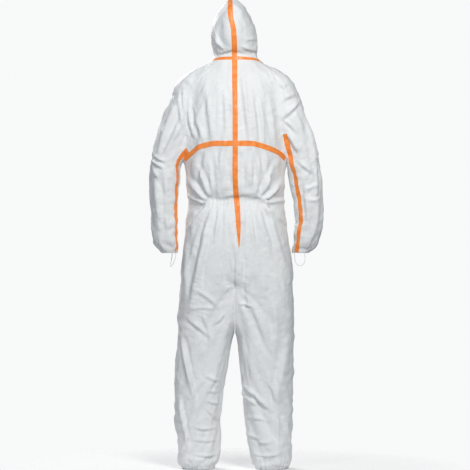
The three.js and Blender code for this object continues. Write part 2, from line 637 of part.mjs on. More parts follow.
const chin = new THREE.Group();
chin.position.set(-FLAP_HALF_WIDTH, -CHIN_FLAP_GAP - FLAP_THICKNESS, zipLength - CHIN_FLAP_HEIGHT);
chin.rotation.z = -degrees(CHIN_FLAP_OPEN);
closure.add(chin);
const chinFlap = rewound(extrudeUp(flapShape(FLAP_HALF_WIDTH, FLAP_LIP), CHIN_FLAP_HEIGHT));
addPart("chin_flap", chinFlap.translate(FLAP_HALF_WIDTH, FLAP_THICKNESS, 0), FINISH.cloth, chin);
const chinLiner = addPart(
  "chin_flap_liner",
  new THREE.BoxGeometry(LINER_WIDTH, LINER_THICKNESS, CHIN_FLAP_HEIGHT - 10),
  FINISH.liner,
  chin,
);
chinLiner.position.set(
  2 * FLAP_HALF_WIDTH - LINER_WIDTH / 2 - 1,
  FLAP_THICKNESS + GAP + LINER_THICKNESS / 2,
  CHIN_FLAP_HEIGHT / 2,
);

// ---------------------------------------------------------------- thumb loops
// Elastic cords sewn into the cuffs. Their points are chosen by hand, for a suit of this height.
const LOOPS = {
  left: [
    [221, -11.7, 801.5],
    [221.5, -12.5, 792],
    [223.5, -14, 782],
    [226.5, -17, 772],
    [231, -21, 763],
    [236, -27, 756],
    [240, -34, 752.5],
    [242, -42, 753.5],
    [242, -50, 758.5],
    [240.5, -56, 766.5],
    [238.5, -60.5, 776],
    [237, -63, 786],
    [236, -64, 794],
    [236, -64.2, 801.5],
  ],
  right: [
    [-222, -10.3, 801.5],
    [-222, -10, 792],
    [-222.5, -9.5, 782],
    [-225, -8, 772],
    [-229.5, -6, 763],
    [-236, -4, 757],
    [-244, -2, 755],
    [-251.5, -1, 758],
    [-257, 0, 764.5],
    [-260, 1, 774],
    [-261, 1.6, 784],
    [-260.5, 2, 793],
    [-260, 2, 801.5],
  ],
};
for (const [name, points] of Object.entries(LOOPS)) {
  const grown = points.map(([x, y, z]) => new THREE.Vector3(x * GIRTH_EASE, y * GIRTH_EASE, z - SLEEVE[0].z + tall(SLEEVE[0].z)));
  const path = new THREE.CatmullRomCurve3(grown, false, "centripetal");
  const round = new THREE.Shape();
  round.absarc(0, 0, LOOP_DIAMETER / 2, 0, 2 * Math.PI);
  const cord = new THREE.ExtrudeGeometry(round, { steps: 24, curveSegments: 4, extrudePath: path });
  addSolid(`thumb_loop_${name}`, solidOf(cord), FINISH.elastic);
}

export default suit;
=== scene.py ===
# %% [markdown]
# # A hooded chemical protective suit, seen filled out as a wearer fills it
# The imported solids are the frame: their places, sizes and joints are fixed. This script puts the
# looks round them. Everything is in metres, +Z up; the suit faces -Y and its left side is +X.

import math

import bmesh
import bpy
import numpy as np
from mathutils import Matrix, Vector
from mathutils.bvhtree import BVHTree


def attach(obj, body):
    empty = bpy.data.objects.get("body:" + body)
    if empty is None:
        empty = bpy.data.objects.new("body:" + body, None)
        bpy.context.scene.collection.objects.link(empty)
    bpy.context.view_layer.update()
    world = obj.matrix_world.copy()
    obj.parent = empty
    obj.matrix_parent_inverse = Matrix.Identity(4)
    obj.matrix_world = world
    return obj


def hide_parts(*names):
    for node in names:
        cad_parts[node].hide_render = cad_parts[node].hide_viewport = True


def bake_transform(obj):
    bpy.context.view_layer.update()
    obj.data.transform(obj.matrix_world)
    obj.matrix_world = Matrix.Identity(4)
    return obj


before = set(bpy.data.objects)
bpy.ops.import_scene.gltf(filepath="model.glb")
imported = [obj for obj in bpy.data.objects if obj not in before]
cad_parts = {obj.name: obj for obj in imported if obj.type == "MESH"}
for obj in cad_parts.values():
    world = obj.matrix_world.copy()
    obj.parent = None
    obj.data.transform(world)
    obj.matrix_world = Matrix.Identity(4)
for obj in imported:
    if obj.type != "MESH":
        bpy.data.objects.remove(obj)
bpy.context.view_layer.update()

# %% [markdown]
# ## The camera
# A catalogue picture of clothing is taken from far away with a long lens, so that near and far
# parts keep the same size. The camera stands straight behind the suit, at the height of its middle,
# and the frame crops the tip of the hood by a few millimetres.

# %% Camera
VIEW_HEIGHT = 1.7517  # what the square frame covers, in metres
CAMERA_DISTANCE = 9.0
LENS_MM = 100.0
SENSOR_MM = LENS_MM * VIEW_HEIGHT / CAMERA_DISTANCE

camera_data = bpy.data.cameras.new("camera")
camera_data.lens = LENS_MM
camera_data.sensor_width = SENSOR_MM
camera = bpy.data.objects.new("camera", camera_data)
bpy.context.scene.collection.objects.link(camera)
camera.location = (0.0, CAMERA_DISTANCE, VIEW_HEIGHT / 2 - 0.006)
camera.rotation_euler = (math.pi / 2, 0.0, math.pi)
bpy.context.scene.camera = camera
print("the camera covers", VIEW_HEIGHT, "m from", CAMERA_DISTANCE, "m away")

# %% [markdown]
# ## The body of the suit as tubes
# A coverall is five tubes sewn into one: trunk with hood, two sleeves and two legs. Each tube is a
# stack of rounded sections. A row below is one section: height, half-width, depth in front of and
# behind its middle, the middle's x and y, and the tilt in degrees of a sleeve's section.


# %% Section tables, millimetres
def rows(text):
    """One row of numbers a line; what a short row leaves out is 0."""
    table = [[float(v) for v in line.split()] for line in text.strip().splitlines()]
    return np.array([row + [0.0] * (7 - len(row)) for row in table])


def zip_line_y(z):
    """The front closure's plane: y rises evenly with height, from -146 at z 800 to -92 at z 1490."""
    return -146.0 + (z - 800.0) * 54.0 / 690.0


TORSO = rows("""
694 205 116 126
740 207 140 138
818 199 0 146
900 190 0 147
955 181 0 134
990 175 0 120
1030 176 0 128
1080 183 0 140
1160 187 0 149
1350 186 0 148
1410 182 0 138
1440 177 0 126
1463 168 0 115
1480 152 0 105
1495 126 0 94
1507 101 0 86
1532 83 90 76
""")
fronts = TORSO[:, 2]
TORSO[:, 2] = np.where(fronts == 0, 6.0 - zip_line_y(TORSO[:, 0]), fronts)
LEG = rows("""
-30 50 56 56 135
0 56 60 60 135
13 67 69 69 137
36 76 77 77 138
106 83 82 82 132
181 87.5 86 86 132
255 92.5 90 90 127.5
330 98 95 95 124
404 103 100 100 119
516 106 107 107 110
600 107 115 116 108.5
700 103 124 126 104.5
770 97 124 124 101
""")
SLEEVE = rows("""
775 33 32 32 250 -32
802 37 36 36 251 -32
812 43 45 45 254 -31
835 49 56 56 259 -28
880 52 58 58 261 -20
970 55 61 61 263 -6
1050 59 66 66 262 4 -2
1125 60 70 70 258 10 5
1200 60 74 74 241 12 17
1290 60 78 78 213 12 25
1396 66 80 80 170 10 50
1425 48 66 66 108 8 72
""")
HOOD = rows("""
1500 80 84 74
1534 78 89 74
1562 85 97 98
1600 88 102 112
1642 83 99 118
1680 67 88 114
1710 53 68 102
1732 35 40 82
1747 22 16 54
1755 8 2 24 0 10
""")
print("sections:", len(TORSO), len(LEG), len(SLEEVE), len(HOOD))


# %% A tube's surface as a function of two parameters
def along(table, t):
    """Rows between the table's rows: a cubic through each four neighbours (Catmull-Rom)."""
    t = np.clip(t, 0, len(table) - 1.000001)
    i = t.astype(int)
    f = (t - i)[:, None]
    at = lambda k: table[np.clip(i + k, 0, len(table) - 1)]
    a, b, c, d = at(-1), at(0), at(1), at(2)
    return b + 0.5 * f * (c - a + f * (2 * a - 5 * b + 4 * c - d + f * (3 * (b - c) + d - a)))


def tube_surface(table, side=1, power=2.2, around=72, per_row=6):
    """
    Point (v, u): the section at height v is a superellipse, x = half * |cos u|^(2/p),
    y = depth * |sin u|^(2/p) with the signs of cos and sin, tilted by its lean about Y.
    """
    at = along(table, np.linspace(0, len(table) - 1, per_row * (len(table) - 1) + 1)) / 1000
    u = np.linspace(0, 2 * np.pi, around, endpoint=False)
    round_ = lambda w: np.sign(w) * np.abs(w) ** (2 / np.asarray(power))
    z, half, front, back, x, y, lean = (at[:, k][:, None] for k in range(7))
    lean = np.radians(lean * 1000)
    across = half * round_(np.cos(u)[None])
    depth = np.where(np.sin(u) < 0, front, back) * round_(np.sin(u)[None])
    return np.stack(
        [side * x + across * np.cos(lean), y + depth, z + side * across * np.sin(lean)], axis=2
    )


def step(a, b, x):
    """0 at and before a, 1 at and after b, and 3t^2 - 2t^3 between; b may be below a."""
    t = np.clip((x - a) / (b - a), 0, 1)
    return t * t * (3 - 2 * t)


def leg_power(around=72, per_row=6):
    """2.3 all round, but up to 9 on the inner half near the crotch, where the thighs meet flat."""
    z = along(LEG, np.linspace(0, len(LEG) - 1, per_row * (len(LEG) - 1) + 1))[:, :1]
    inner = np.cos(np.linspace(0, 2 * np.pi, around, endpoint=False))[None] < -1e-9
    return 2.3 + inner * 6.7 * step(480, 620, z)


def grid_faces(rows_, cols, wrap):
    """Quads of a grid; with wrap the last column joins the first."""
    i, j = np.meshgrid(np.arange(rows_ - 1), np.arange(cols if wrap else cols - 1), indexing="ij")
    k = (j + 1) % cols
    return np.stack([i * cols + j, i * cols + k, (i + 1) * cols + k, (i + 1) * cols + j], -1).reshape(
        -1, 4
    )


def mesh_from(name, points, faces):
    mesh = bpy.data.meshes.new(name)
    mesh.from_pydata(np.asarray(points).reshape(-1, 3).tolist(), [], [list(f) for f in faces])
    mesh.update()
    return mesh


def show(name, mesh):
    piece = bpy.data.objects.new(name, mesh)
    bpy.context.scene.collection.objects.link(piece)
    return piece


def capped(surface):
    """A tube's grid closed by a fan to each end's middle: (points, faces)."""
    v, u = surface.shape[:2]
    points = np.concatenate([surface.reshape(-1, 3), surface[0].mean(0)[None], surface[-1].mean(0)[None]])
    j = np.arange(u)
    low = np.stack([(j + 1) % u, j, np.full(u, v * u)], 1)
    top = np.stack([(v - 1) * u + j, (v - 1) * u + (j + 1) % u, np.full(u, v * u + 1)], 1)
    return points, list(grid_faces(v, u, True)) + list(low) + list(top)


trunk = tube_surface(TORSO, power=2.4)
trunk[..., 1] = np.maximum(trunk[..., 1], zip_line_y(trunk[..., 2] * 1000) / 1000)
tubes = [
    trunk,
    tube_surface(HOOD, power=2.1),
    tube_surface(SLEEVE, power=2.1),
    tube_surface(LEG, power=leg_power()),
]
CHEST_ROW = 48
girth = np.linalg.norm(np.diff(trunk[CHEST_ROW], axis=0), axis=1).sum()
print("trunk girth at the chest, m:", round(float(girth), 3))

# %% [markdown]
# ## One skin from the tubes
# The tubes overlap where they are sewn. A voxel remesh of their union gives one even net of small
# quads, which cloth needs: long thin faces would fold in one direction only. One half is made and
# mirrored, so that the two legs, which touch, stay two legs.

# %% Remesh the union of the tubes
CELL = 0.0095


def evaluated(piece):
    """The piece's mesh with its modifiers applied."""
    graph = bpy.context.evaluated_depsgraph_get()
    return bpy.data.meshes.new_from_object(piece.evaluated_get(graph))


def remeshed(surfaces, cell):
    points, faces, base = [], [], 0
    for surface in surfaces:
        p, f = capped(surface)
        points.append(p)
        faces += [[int(k) + base for k in face] for face in f]
        base += len(p)
    block = show("block", mesh_from("block", np.concatenate(points), faces))
    voxels = block.modifiers.new("voxels", "REMESH")
    voxels.mode = "VOXEL"
    voxels.voxel_size = cell
    mesh = evaluated(block)
    bpy.data.objects.remove(block)
    return mesh


def coordinates(mesh):
    co = np.empty(len(mesh.vertices) * 3)
    mesh.vertices.foreach_get("co", co)
    return co.reshape(-1, 3)


def edge_array(mesh):
    pairs = np.empty(len(mesh.edges) * 2, int)
    mesh.edges.foreach_get("vertices", pairs)
    return pairs.reshape(-1, 2)


def relaxed(co, edges, rounds, share=0.5, keep=None):
    """Each point moves a share of the way to the mean of its neighbours; keep is 1 where it stays."""
    co = co.copy()
    count = np.zeros(len(co))
    np.add.at(count, edges[:, 0], 1)
    np.add.at(count, edges[:, 1], 1)
    move = share if keep is None else (share * (1 - keep))[:, None]
    for _ in range(rounds):
        total = np.zeros_like(co)
        np.add.at(total, edges[:, 0], co[edges[:, 1]])
        np.add.at(total, edges[:, 1], co[edges[:, 0]])
        co += move * (total / np.maximum(count, 1)[:, None] - co)
    return co


ARM_CLEARANCE = 0.03  # the sleeve is moved out by this while the net is made, and back after it
sleeve_shift = lambda z: ARM_CLEARANCE * step(1.19, 1.09, z)
tubes[2][..., 0] += sleeve_shift(tubes[2][..., 2])
half = remeshed(tubes, CELL)
co = relaxed(coordinates(half), edge_array(half), 5)
beside = np.interp(co[:, 2], [0.76, 1.06, 1.19], [0.2, 0.188, 0.186])
in_moved_sleeve = (co[:, 2] > 0.76) & (co[:, 0] > beside + 0.55 * sleeve_shift(co[:, 2]))
co[:, 0] -= np.where(in_moved_sleeve, sleeve_shift(co[:, 2]), 0)
half.vertices.foreach_set("co", co.ravel())
print("remeshed union:", len(half.vertices), "points")

# %% [markdown]
# ## The openings
# The face hole, the cuffs, the hems and the zip's slot are cut while the net is still smooth, so
# that their edges are clean lines.

# %% Cut the half suit open
FACE_HALF_WIDTH, FACE_HALF_HEIGHT, FACE_Z = 0.062, 0.086, 1.632
ZIP_Z = (0.8146, 1.4868)
SLOT_HALF = 0.0131
HEM_Z, CUFF_Z = 0.0015, 0.8025
ARM_SPLIT_Z, CROTCH_Z, KNEE_SPLIT_Z = 1.16, 0.70, 0.50
NECK_POINT, NECK_NORMAL = (0.0, -0.09, 1.49), (0.0, -0.036, 0.166)


def neck_height(y):
    """Where the plane of the neck seam lies at y."""
    return 1.49 + (y + 0.09) * 0.036 / 0.166


def cut(net, point, normal, wanted, clear=False):
    """Cuts the wanted faces along a plane; with clear, what lies on the normal's side goes."""
    faces = [f for f in net.faces if wanted(f.calc_center_median())]
    edges = dict.fromkeys(e for f in faces for e in f.edges)
    verts = dict.fromkeys(v for f in faces for v in f.verts)
    bmesh.ops.bisect_plane(
        net,
        geom=faces + list(edges) + list(verts),
        plane_co=point,
        plane_no=normal,
        dist=1e-5,
        clear_outer=clear,
    )


def drop(net, unwanted):
    gone = [f for f in net.faces if unwanted(f.calc_center_median())]
    bmesh.ops.delete(net, geom=gone, context="FACES")


def in_face_hole(c, grow=0.0):
    """Inside the ellipse of the face opening, in front of the ears."""
    wide, high = FACE_HALF_WIDTH + grow, FACE_HALF_HEIGHT + grow
    return c.y < -0.015 and (c.x / wide) ** 2 + ((c.z - FACE_Z) / high) ** 2 < 1


net = bmesh.new()
net.from_mesh(half)
for v in net.verts:
    if v.co.z < CROTCH_Z - 0.006:
        v.co.x = max(v.co.x, 0.0012)
cut(net, (0, 0, 0), (-1, 0, 0), lambda c: True, clear=True)
cut(net, (0, 0, HEM_Z), (0, 0, -1), lambda c: c.z < 0.05, clear=True)
is_cuff = lambda c: c.x > 0.2095 and 0.75 < c.z < 0.83
cut(net, (0, 0, CUFF_Z), (0, 0, -1), is_cuff, clear=True)
near_zip = lambda c: c.y < -0.05 and c.x < 0.03 and ZIP_Z[0] - 0.03 < c.z < ZIP_Z[1] + 0.03
cut(net, (SLOT_HALF, 0, 0), (1, 0, 0), near_zip)
cut(net, (0, 0, ZIP_Z[0]), (0, 0, -1), near_zip)
cut(net, (0, 0, ZIP_Z[1]), (0, 0, 1), near_zip)
drop(net, lambda c: c.y < -0.05 and c.x < SLOT_HALF and ZIP_Z[0] < c.z < ZIP_Z[1])
drop(net, in_face_hole)
bmesh.ops.delete(net, geom=[v for v in net.verts if not v.link_faces], context="VERTS")
for v in net.verts:
    if v.is_boundary and in_face_hole(v.co, 0.014) and v.co.x > 1e-4:
        out = math.hypot(v.co.x / FACE_HALF_WIDTH, (v.co.z - FACE_Z) / FACE_HALF_HEIGHT)
        v.co.x, v.co.z = v.co.x / out, FACE_Z + (v.co.z - FACE_Z) / out
cut(net, NECK_POINT, NECK_NORMAL, lambda c: c.z > 1.46 and c.x < 0.125)
for split, inmost in ((ARM_SPLIT_Z, 0.18), (CROTCH_Z, -1), (KNEE_SPLIT_Z, -1)):
    cut(net, (0, 0, split), (0, 0, 1), lambda c: c.x > inmost and abs(c.z - split) < 0.02)
mirror = bmesh.ops.duplicate(net, geom=net.verts[:] + net.edges[:] + net.faces[:])["geom"]
for v in (g for g in mirror if isinstance(g, bmesh.types.BMVert)):
    v.co.x *= -1
bmesh.ops.reverse_faces(net, faces=[g for g in mirror if isinstance(g, bmesh.types.BMFace)])
seam = [v for v in net.verts if abs(v.co.x) < 2e-5]
bmesh.ops.remove_doubles(net, verts=seam, dist=5e-5)
bmesh.ops.recalc_face_normals(net, faces=net.faces[:])
smooth_mesh = bpy.data.meshes.new("suit_cloth")
net.to_mesh(smooth_mesh)
net.free()
print("the open suit:", len(smooth_mesh.vertices), "points", len(smooth_mesh.polygons), "faces")

# %% [markdown]
# ## Hanging the cloth
# Real cloth is cut wider than the body and is gathered by elastic at the waist, cuffs, ankles and
# face. So the net is told that it was cut larger than it is, and the solver has to put the spare
# width somewhere: into folds. The elastics, the neck seam and the zip hold their places, and a
# slimmer body inside keeps the cloth from falling in.

# %% Which tube each point belongs to
points = coordinates(smooth_mesh)
edges = edge_array(smooth_mesh)
X, Y, Z = points.T
side = np.where(X < 0, -1.0, 1.0)


def near(x, middle, width):
    """A bell: 1 at the middle, falling as a Gaussian."""
    return np.exp(-(((x - middle) / width) ** 2))


def below_armpit(x, z):
    """True on the sleeve where it hangs beside the trunk, parted from it by a gap."""
    sleeve_edge = np.interp(z, [0.8, 1.05, 1.13, 1.16], [0.204, 0.193, 0.187, 0.186])
    return (np.abs(x) > sleeve_edge) & (z < ARM_SPLIT_Z) & (z > 0.79)


def middle_of(table, column, z):
    """A table's column at the heights z, straight between its rows; in metres."""
    return np.interp(z * 1000, table[:, 0], table[:, column]) / 1000


hanging = (Z < ARM_SPLIT_Z) & (Z > 0.79)
in_leg = step(CROTCH_Z + 0.02, CROTCH_Z - 0.06, Z)
on_shoulder = step(0.17, 0.215, np.abs(X)) * (Z > 1) * (Z < 1.45)
in_sleeve = np.where(hanging, below_armpit(X, Z) * 1.0, on_shoulder)
neck_z = neck_height(Y)
print("points in legs", int((in_leg > 0.5).sum()), "in sleeves", int((in_sleeve > 0.5).sum()))

# %% The pattern: how much wider than its place each part was cut
axis_x = side * (in_leg * middle_of(LEG, 4, Z) + in_sleeve * middle_of(SLEEVE, 4, Z))
axis_y = in_sleeve * middle_of(SLEEVE, 5, Z)
back = step(-0.02, 0.05, Y)
trunk_share = (1 - in_leg) * (1 - in_sleeve)
WAIST_Z = 0.99
spare = 0.05 + trunk_share * (0.06 * near(Z, WAIST_Z, 0.15) * (0.3 + 0.7 * back) + 0.015 * (Z > 1.53))
spare += in_sleeve * (0.02 + 0.12 * near(Z, 0.80, 0.05)) + in_leg * (0.01 + 0.12 * near(Z, 0.0, 0.07))
LENGTH_SPARE = 1.022
cut_shape = points.copy()
cut_shape[:, 0] += (X - axis_x) * spare
cut_shape[:, 1] += (Y - axis_y) * spare
cut_shape[:, 2] *= LENGTH_SPARE
print("widest cut:", round(float(spare.max()), 3))

# %% What is held
face_edge = np.hypot(X / FACE_HALF_WIDTH, (Z - FACE_Z) / FACE_HALF_HEIGHT)
held = near(Z, neck_z, 0.007) * (np.abs(X) < 0.13) * (Z > 1.45)
for grip in (
    (face_edge < 1.1) * (Y < -0.015) * (Z > 1.5),
    in_sleeve * step(0.816, 0.808, Z),
    step(0.016, 0.008, Z),
    near(Z, WAIST_Z, 0.006) * back * (np.abs(X) < 0.1),
    (np.abs(X) < 0.036) * (Y < -0.05) * step(0.79, 0.80, Z) * (Z < 1.5),
    0.6 * step(0.03, 0.01, np.abs(X)) * (Z > 0.46) * (Z < 0.73),
):
    held = np.maximum(held, grip)
print("held points:", int((held > 0.5).sum()))

# %% A slimmer body inside the suit, for the cloth to lie on
BODY_INSET = 0.012


def normals_of(mesh):
    n = np.empty(len(mesh.vertices) * 3)
    mesh.vertices.foreach_get("normal", n)
    return n.reshape(-1, 3)


outward = normals_of(smooth_mesh)
body_mesh = smooth_mesh.copy()
body_mesh.vertices.foreach_set("co", (points - BODY_INSET * outward).ravel())
body_mesh.update()
body = show("inner_form", body_mesh)
body.modifiers.new("collision", "COLLISION")
body.collision.thickness_outer = 0.002
body.collision.cloth_friction = 4.0

# %% Small unevenness to start the folds
random = np.random.default_rng(7)


def ripple(p, waves, low, high, upright=1.0):
    """A sum of sine waves in random directions with random phases, of wavelengths low to high."""
    total = np.zeros(len(p))
    for _ in range(waves):
        k = random.normal(size=3) * (1, 1, upright)
        k *= 2 * np.pi / random.uniform(low, high) / np.linalg.norm(k)
        total += np.sin(p @ k + random.uniform(0, 2 * np.pi))
    return total / math.sqrt(waves)


uneven = 0.003 * ripple(points, 24, 0.04, 0.10, 0.35) + 0.0015 * ripple(points, 24, 0.03, 0.07)
start = points + ((1 - held) * uneven)[:, None] * outward

# %% The solver
FRAMES = 30


def draped(name, start_points, cut_points, held_points, frames):
    """The places of the net's points after the cloth solver has run from start_points."""
    mesh = smooth_mesh.copy()
    mesh.vertices.foreach_set("co", start_points.ravel())
    cloth = show(name, mesh)
    group = cloth.vertex_groups.new(name="held")
    level = np.round(held_points, 1)
    for share in np.unique(level[level > 0]):
        group.add(np.flatnonzero(level == share).tolist(), float(share), "REPLACE")
    cloth.shape_key_add(name="Basis")
    key = cloth.shape_key_add(name="cut")
    key.data.foreach_set("co", cut_points.ravel())
    solver = cloth.modifiers.new("cloth", "CLOTH")
    s = solver.settings
    s.quality = 5
    s.mass = 0.12
    s.tension_stiffness = s.compression_stiffness = 20
    s.shear_stiffness = 8
    s.bending_stiffness = 0.6
    s.air_damping = 2.0
    s.vertex_group_mass = "held"
    s.pin_stiffness = 2.0
    s.rest_shape_key = key
    solver.collision_settings.distance_min = 0.003
    solver.collision_settings.collision_quality = 2
    solver.point_cache.frame_end = frames
    for f in range(1, frames + 1):
        bpy.context.scene.frame_set(f)
    result = coordinates(evaluated(cloth))
    bpy.data.objects.remove(cloth)
    bpy.context.scene.frame_set(1)
    return result


hung = draped("suit_in_solver", start, cut_shape, held, FRAMES)
moved = hung - points
reach = np.linalg.norm(moved, axis=1)
MOST = 0.024
hung = points + moved * np.minimum(1, MOST / np.maximum(reach, 1e-9))[:, None]
hung = np.where((Z > neck_z)[:, None] & (Z > 1.46)[:, None], points + 0.55 * (hung - points), hung)
print("moved, m: mean", reach.mean().round(4), "most", reach.max().round(4))
bpy.data.objects.remove(body)

# %% [markdown]
# ## Folds, gathers and the finer net
# The solver gives the cloth its natural slack. Stiff nonwoven also keeps sharp folds: rays out of
# the waist elastic's ends, long pleats down the back and the legs, crumples at elbow and armpit.
# Each of these is a short curve with a width and a height, pressed into a net of finer faces.

# %% Part every face in four
def finer(p):
    """The net with its points at p, every face parted in four and smoothed (Catmull-Clark)."""
    mesh = smooth_mesh.copy()
    mesh.vertices.foreach_set("co", p.ravel())
    piece = show("finer", mesh)
    parting = piece.modifiers.new("finer", "SUBSURF")
    parting.levels = parting.render_levels = 1
    result = evaluated(piece)
    bpy.data.objects.remove(piece)
    return result


flat = coordinates(finer(points))
cloth_mesh = finer(hung)
draped_points = coordinates(cloth_mesh)
quads = np.empty(len(cloth_mesh.loops), int)
cloth_mesh.loops.foreach_get("vertex_index", quads)
quads = quads.reshape(-1, 4)
print("fine net:", len(flat), "points,", len(quads), "quads")

# %% Pressed folds, in millimetres: x z at the start, the bend and the end, then width and height
BACK_FOLDS = rows("""
95 995 128 1028 172 1085 11 12
88 1002 104 1055 140 1130 11 8
80 1004 86 1060 95 1150 9 5
101 990 140 1008 178 1026 9 9
60 1006 62 1060 66 1130 7 3.5
-92 998 -125 1024 -170 1078 -11 11
-85 1003 -105 1055 -150 1140 -11 8
-70 1006 -78 1070 -95 1160 -9 5
-98 992 -140 1004 -182 1008 -9 8
-40 1006 -42 1080 -45 1150 -8 4
25 1006 28 1070 30 1140 7 3
96 984 132 955 178 900 11 8
86 978 100 930 125 860 11 6
60 976 66 920 75 845 8 4.5
35 976 37 930 40 870 7 3.5
-92 984 -128 958 -178 925 -11 8
-80 978 -96 930 -120 850 -11 6
-56 976 -61 920 -70 840 -8 4.5
-30 976 -32 930 -35 850 -7 3.5
104 900 128 800 174 600 17 13
182 860 186 760 190 640 -10 5
105 1395 100 1330 88 1228 12 5
40 1400 38 1310 28 1225 9 4
-30 1450 -40 1330 -55 1225 13 6
-60 1410 -75 1310 -88 1225 -10 6
-95 1380 -105 1300 -110 1220 11 5
-125 1400 -140 1320 -150 1220 12 5
152 1350 140 1290 118 1218 10 6
173 1372 175 1310 152 1238 7 10
192 1408 197 1375 184 1326 6 8
210 1395 205 1330 190 1270 10 6
110 1190 118 1130 134 1072 13 6
52 1190 54 1120 50 1045 11 4
-60 1190 -62 1120 -58 1040 -12 5
-115 1180 -121 1120 -118 1066 12 6
-178 1310 -205 1330 -242 1373 9 9
-180 1374 -197 1393 -230 1396 9 6
-187 1300 -205 1284 -226 1260 7 8
-192 1258 -215 1228 -238 1175 10 7
215 1385 250 1290 288 1178 13 8
192 1330 216 1250 264 1158 12 8
237 1372 277 1280 308 1162 -10 7
308 1144 290 1137 262 1120 7 8
304 1118 294 1108 278 1083 7 7
298 1168 282 1152 250 1146 8 7
292 1100 287 1000 276 890 15 7
256 1080 251 990 249 890 11 6
-268 1300 -285 1220 -302 1120 13 7
-232 1150 -262 1120 -288 1098 9 6
-302 1062 -280 1050 -252 1044 8 6
-312 1012 -290 1000 -262 1003 8 5
-292 985 -286 910 -276 850 12 6
-250 1080 -252 990 -255 900 10 5
-14 868 -6 780 -1 650 -4 5
-44 830 -46 740 -50 600 9 7
-20 612 -40 619 -68 606 6 6
-74 592 -95 540 -119 478 15 6
-140 640 -148 560 -150 470 13 5
-194 500 -181 380 -157 245 17 8
-160 240 -163 160 -160 85 9 6
-32 314 -80 286 -138 224 8 11
-28 290 -50 263 -82 246 7 8
-128 332 -150 302 -160 256 8 5
-52 132 -75 120 -97 119 7 7
181 568 150 546 99 496 9 6
154 674 115 660 62 602 9 5
170 604 120 612 70 600 7 3
88 542 66 553 43 580 7 6
126 582 112 540 99 500 7 6
201 500 179 392 142 262 -10 12
201 276 189 190 174 92 -9 9
106 354 78 338 52 336 6 6
94 300 74 290 48 292 6 4
92 262 70 250 46 248 6 6
96 232 70 205 47 180 7 7
150 166 110 150 60 160 7 6
162 120 110 105 68 114 7 5
152 62 110 48 66 60 6 6
-76 112 -110 96 -142 112 7 6
-70 62 -110 46 -162 62 6 6
-50 192 -85 202 -122 182 7 5
120 790 121 740 120 690 9 -3
80 1612 62 1582 42 1560 7 7
70 1640 66 1600 58 1570 6 6
-28 1570 -52 1561 -82 1557 7 7
-40 1592 -60 1600 -84 1598 8 4
60 1545 34 1550 10 1562 7 4
37 1226 37 1210 36 1194 3 5
""")
FRONT_FOLDS = rows("""
60 1000 100 1050 150 1130 11 9
-60 1000 -104 1045 -152 1120 -11 9
50 980 92 930 140 850 11 7
-50 980 -90 925 -142 845 -11 7
90 1400 100 1300 92 1180 12 6
-85 1410 -102 1300 -98 1170 -12 6
130 1380 140 1300 130 1180 10 5
-135 1370 -142 1290 -128 1190 10 5
30 770 70 740 120 735 9 6
-30 770 -72 742 -122 738 9 6
60 690 90 640 150 620 9 6
-55 690 -92 645 -148 628 9 6
160 600 165 500 155 380 13 7
-165 600 -168 500 -150 380 -13 7
60 480 110 455 165 470 9 8
-55 470 -110 450 -168 462 9 8
70 420 115 400 165 415 8 6
-62 410 -115 395 -160 410 8 6
85 220 90 160 88 80 10 5
-160 220 -163 160 -158 80 10 6
70 120 110 104 160 118 7 6
-72 110 -112 98 -165 112 7 6
262 1130 290 1120 315 1135 8 8
-262 1120 -290 1112 -315 1128 8 8
230 1350 262 1270 280 1180 12 7
-225 1360 -262 1270 -285 1180 12 7
260 1060 262 980 260 890 11 5
-270 1060 -272 980 -268 890 11 5
""")
print("folds:", len(BACK_FOLDS), "behind,", len(FRONT_FOLDS), "in front")


def pressed(base, folds, face):
    """
    How far each point rises. A fold runs along the curve (1-t)^2 a + 2t(1-t) m + t^2 b in x and z.
    Across it, at s widths from the curve, the cloth rises by height * exp(-s^2), twice as steep on
    one side, where it first sinks by 0.4 * height * exp(-((s - 1.3)/0.6)^2); a negative width swaps
    the sides. Along it the height is times sin(pi t)^0.6.
    """
    rise = np.zeros(len(base))
    facing = step(-0.03, 0.02, face * base[:, 1])
    flat_places = base[:, [0, 2]]
    t = np.linspace(0, 1, 25)[:, None]
    for fold in folds:
        a, m, b = (fold[k : k + 2] / 1000 for k in (0, 2, 4))
        width, height = fold[6] / 1000, fold[7] / 1000
        curve = (1 - t) ** 2 * a + 2 * t * (1 - t) * m + t**2 * b
        reach = 3.5 * abs(width)
        low, high = curve.min(0) - reach, curve.max(0) + reach
        chosen = np.flatnonzero(((flat_places > low) & (flat_places < high)).all(1) & (facing > 0))
        gap = flat_places[chosen][:, None] - curve[None]
        k = (gap**2).sum(2).argmin(1)
        ahead = np.gradient(curve, axis=0)[k]
        gap = gap[np.arange(len(k)), k]
        across = (ahead[:, 0] * gap[:, 1] - ahead[:, 1] * gap[:, 0]) / np.hypot(*ahead.T)
        beyond = (ahead * gap).sum(1) / np.hypot(*ahead.T)
        s = across / width
        crest = np.exp(-(np.where(s > 0, 2 * s, s) ** 2)) - 0.4 * np.exp(-(((s - 1.3) / 0.6) ** 2))
        ends = np.sin(np.pi * np.clip(t[k, 0], 0.02, 0.98)) ** 0.6 * np.exp(-((beyond / width) ** 2))
        rise[chosen] += height * crest * ends
    return rise * facing


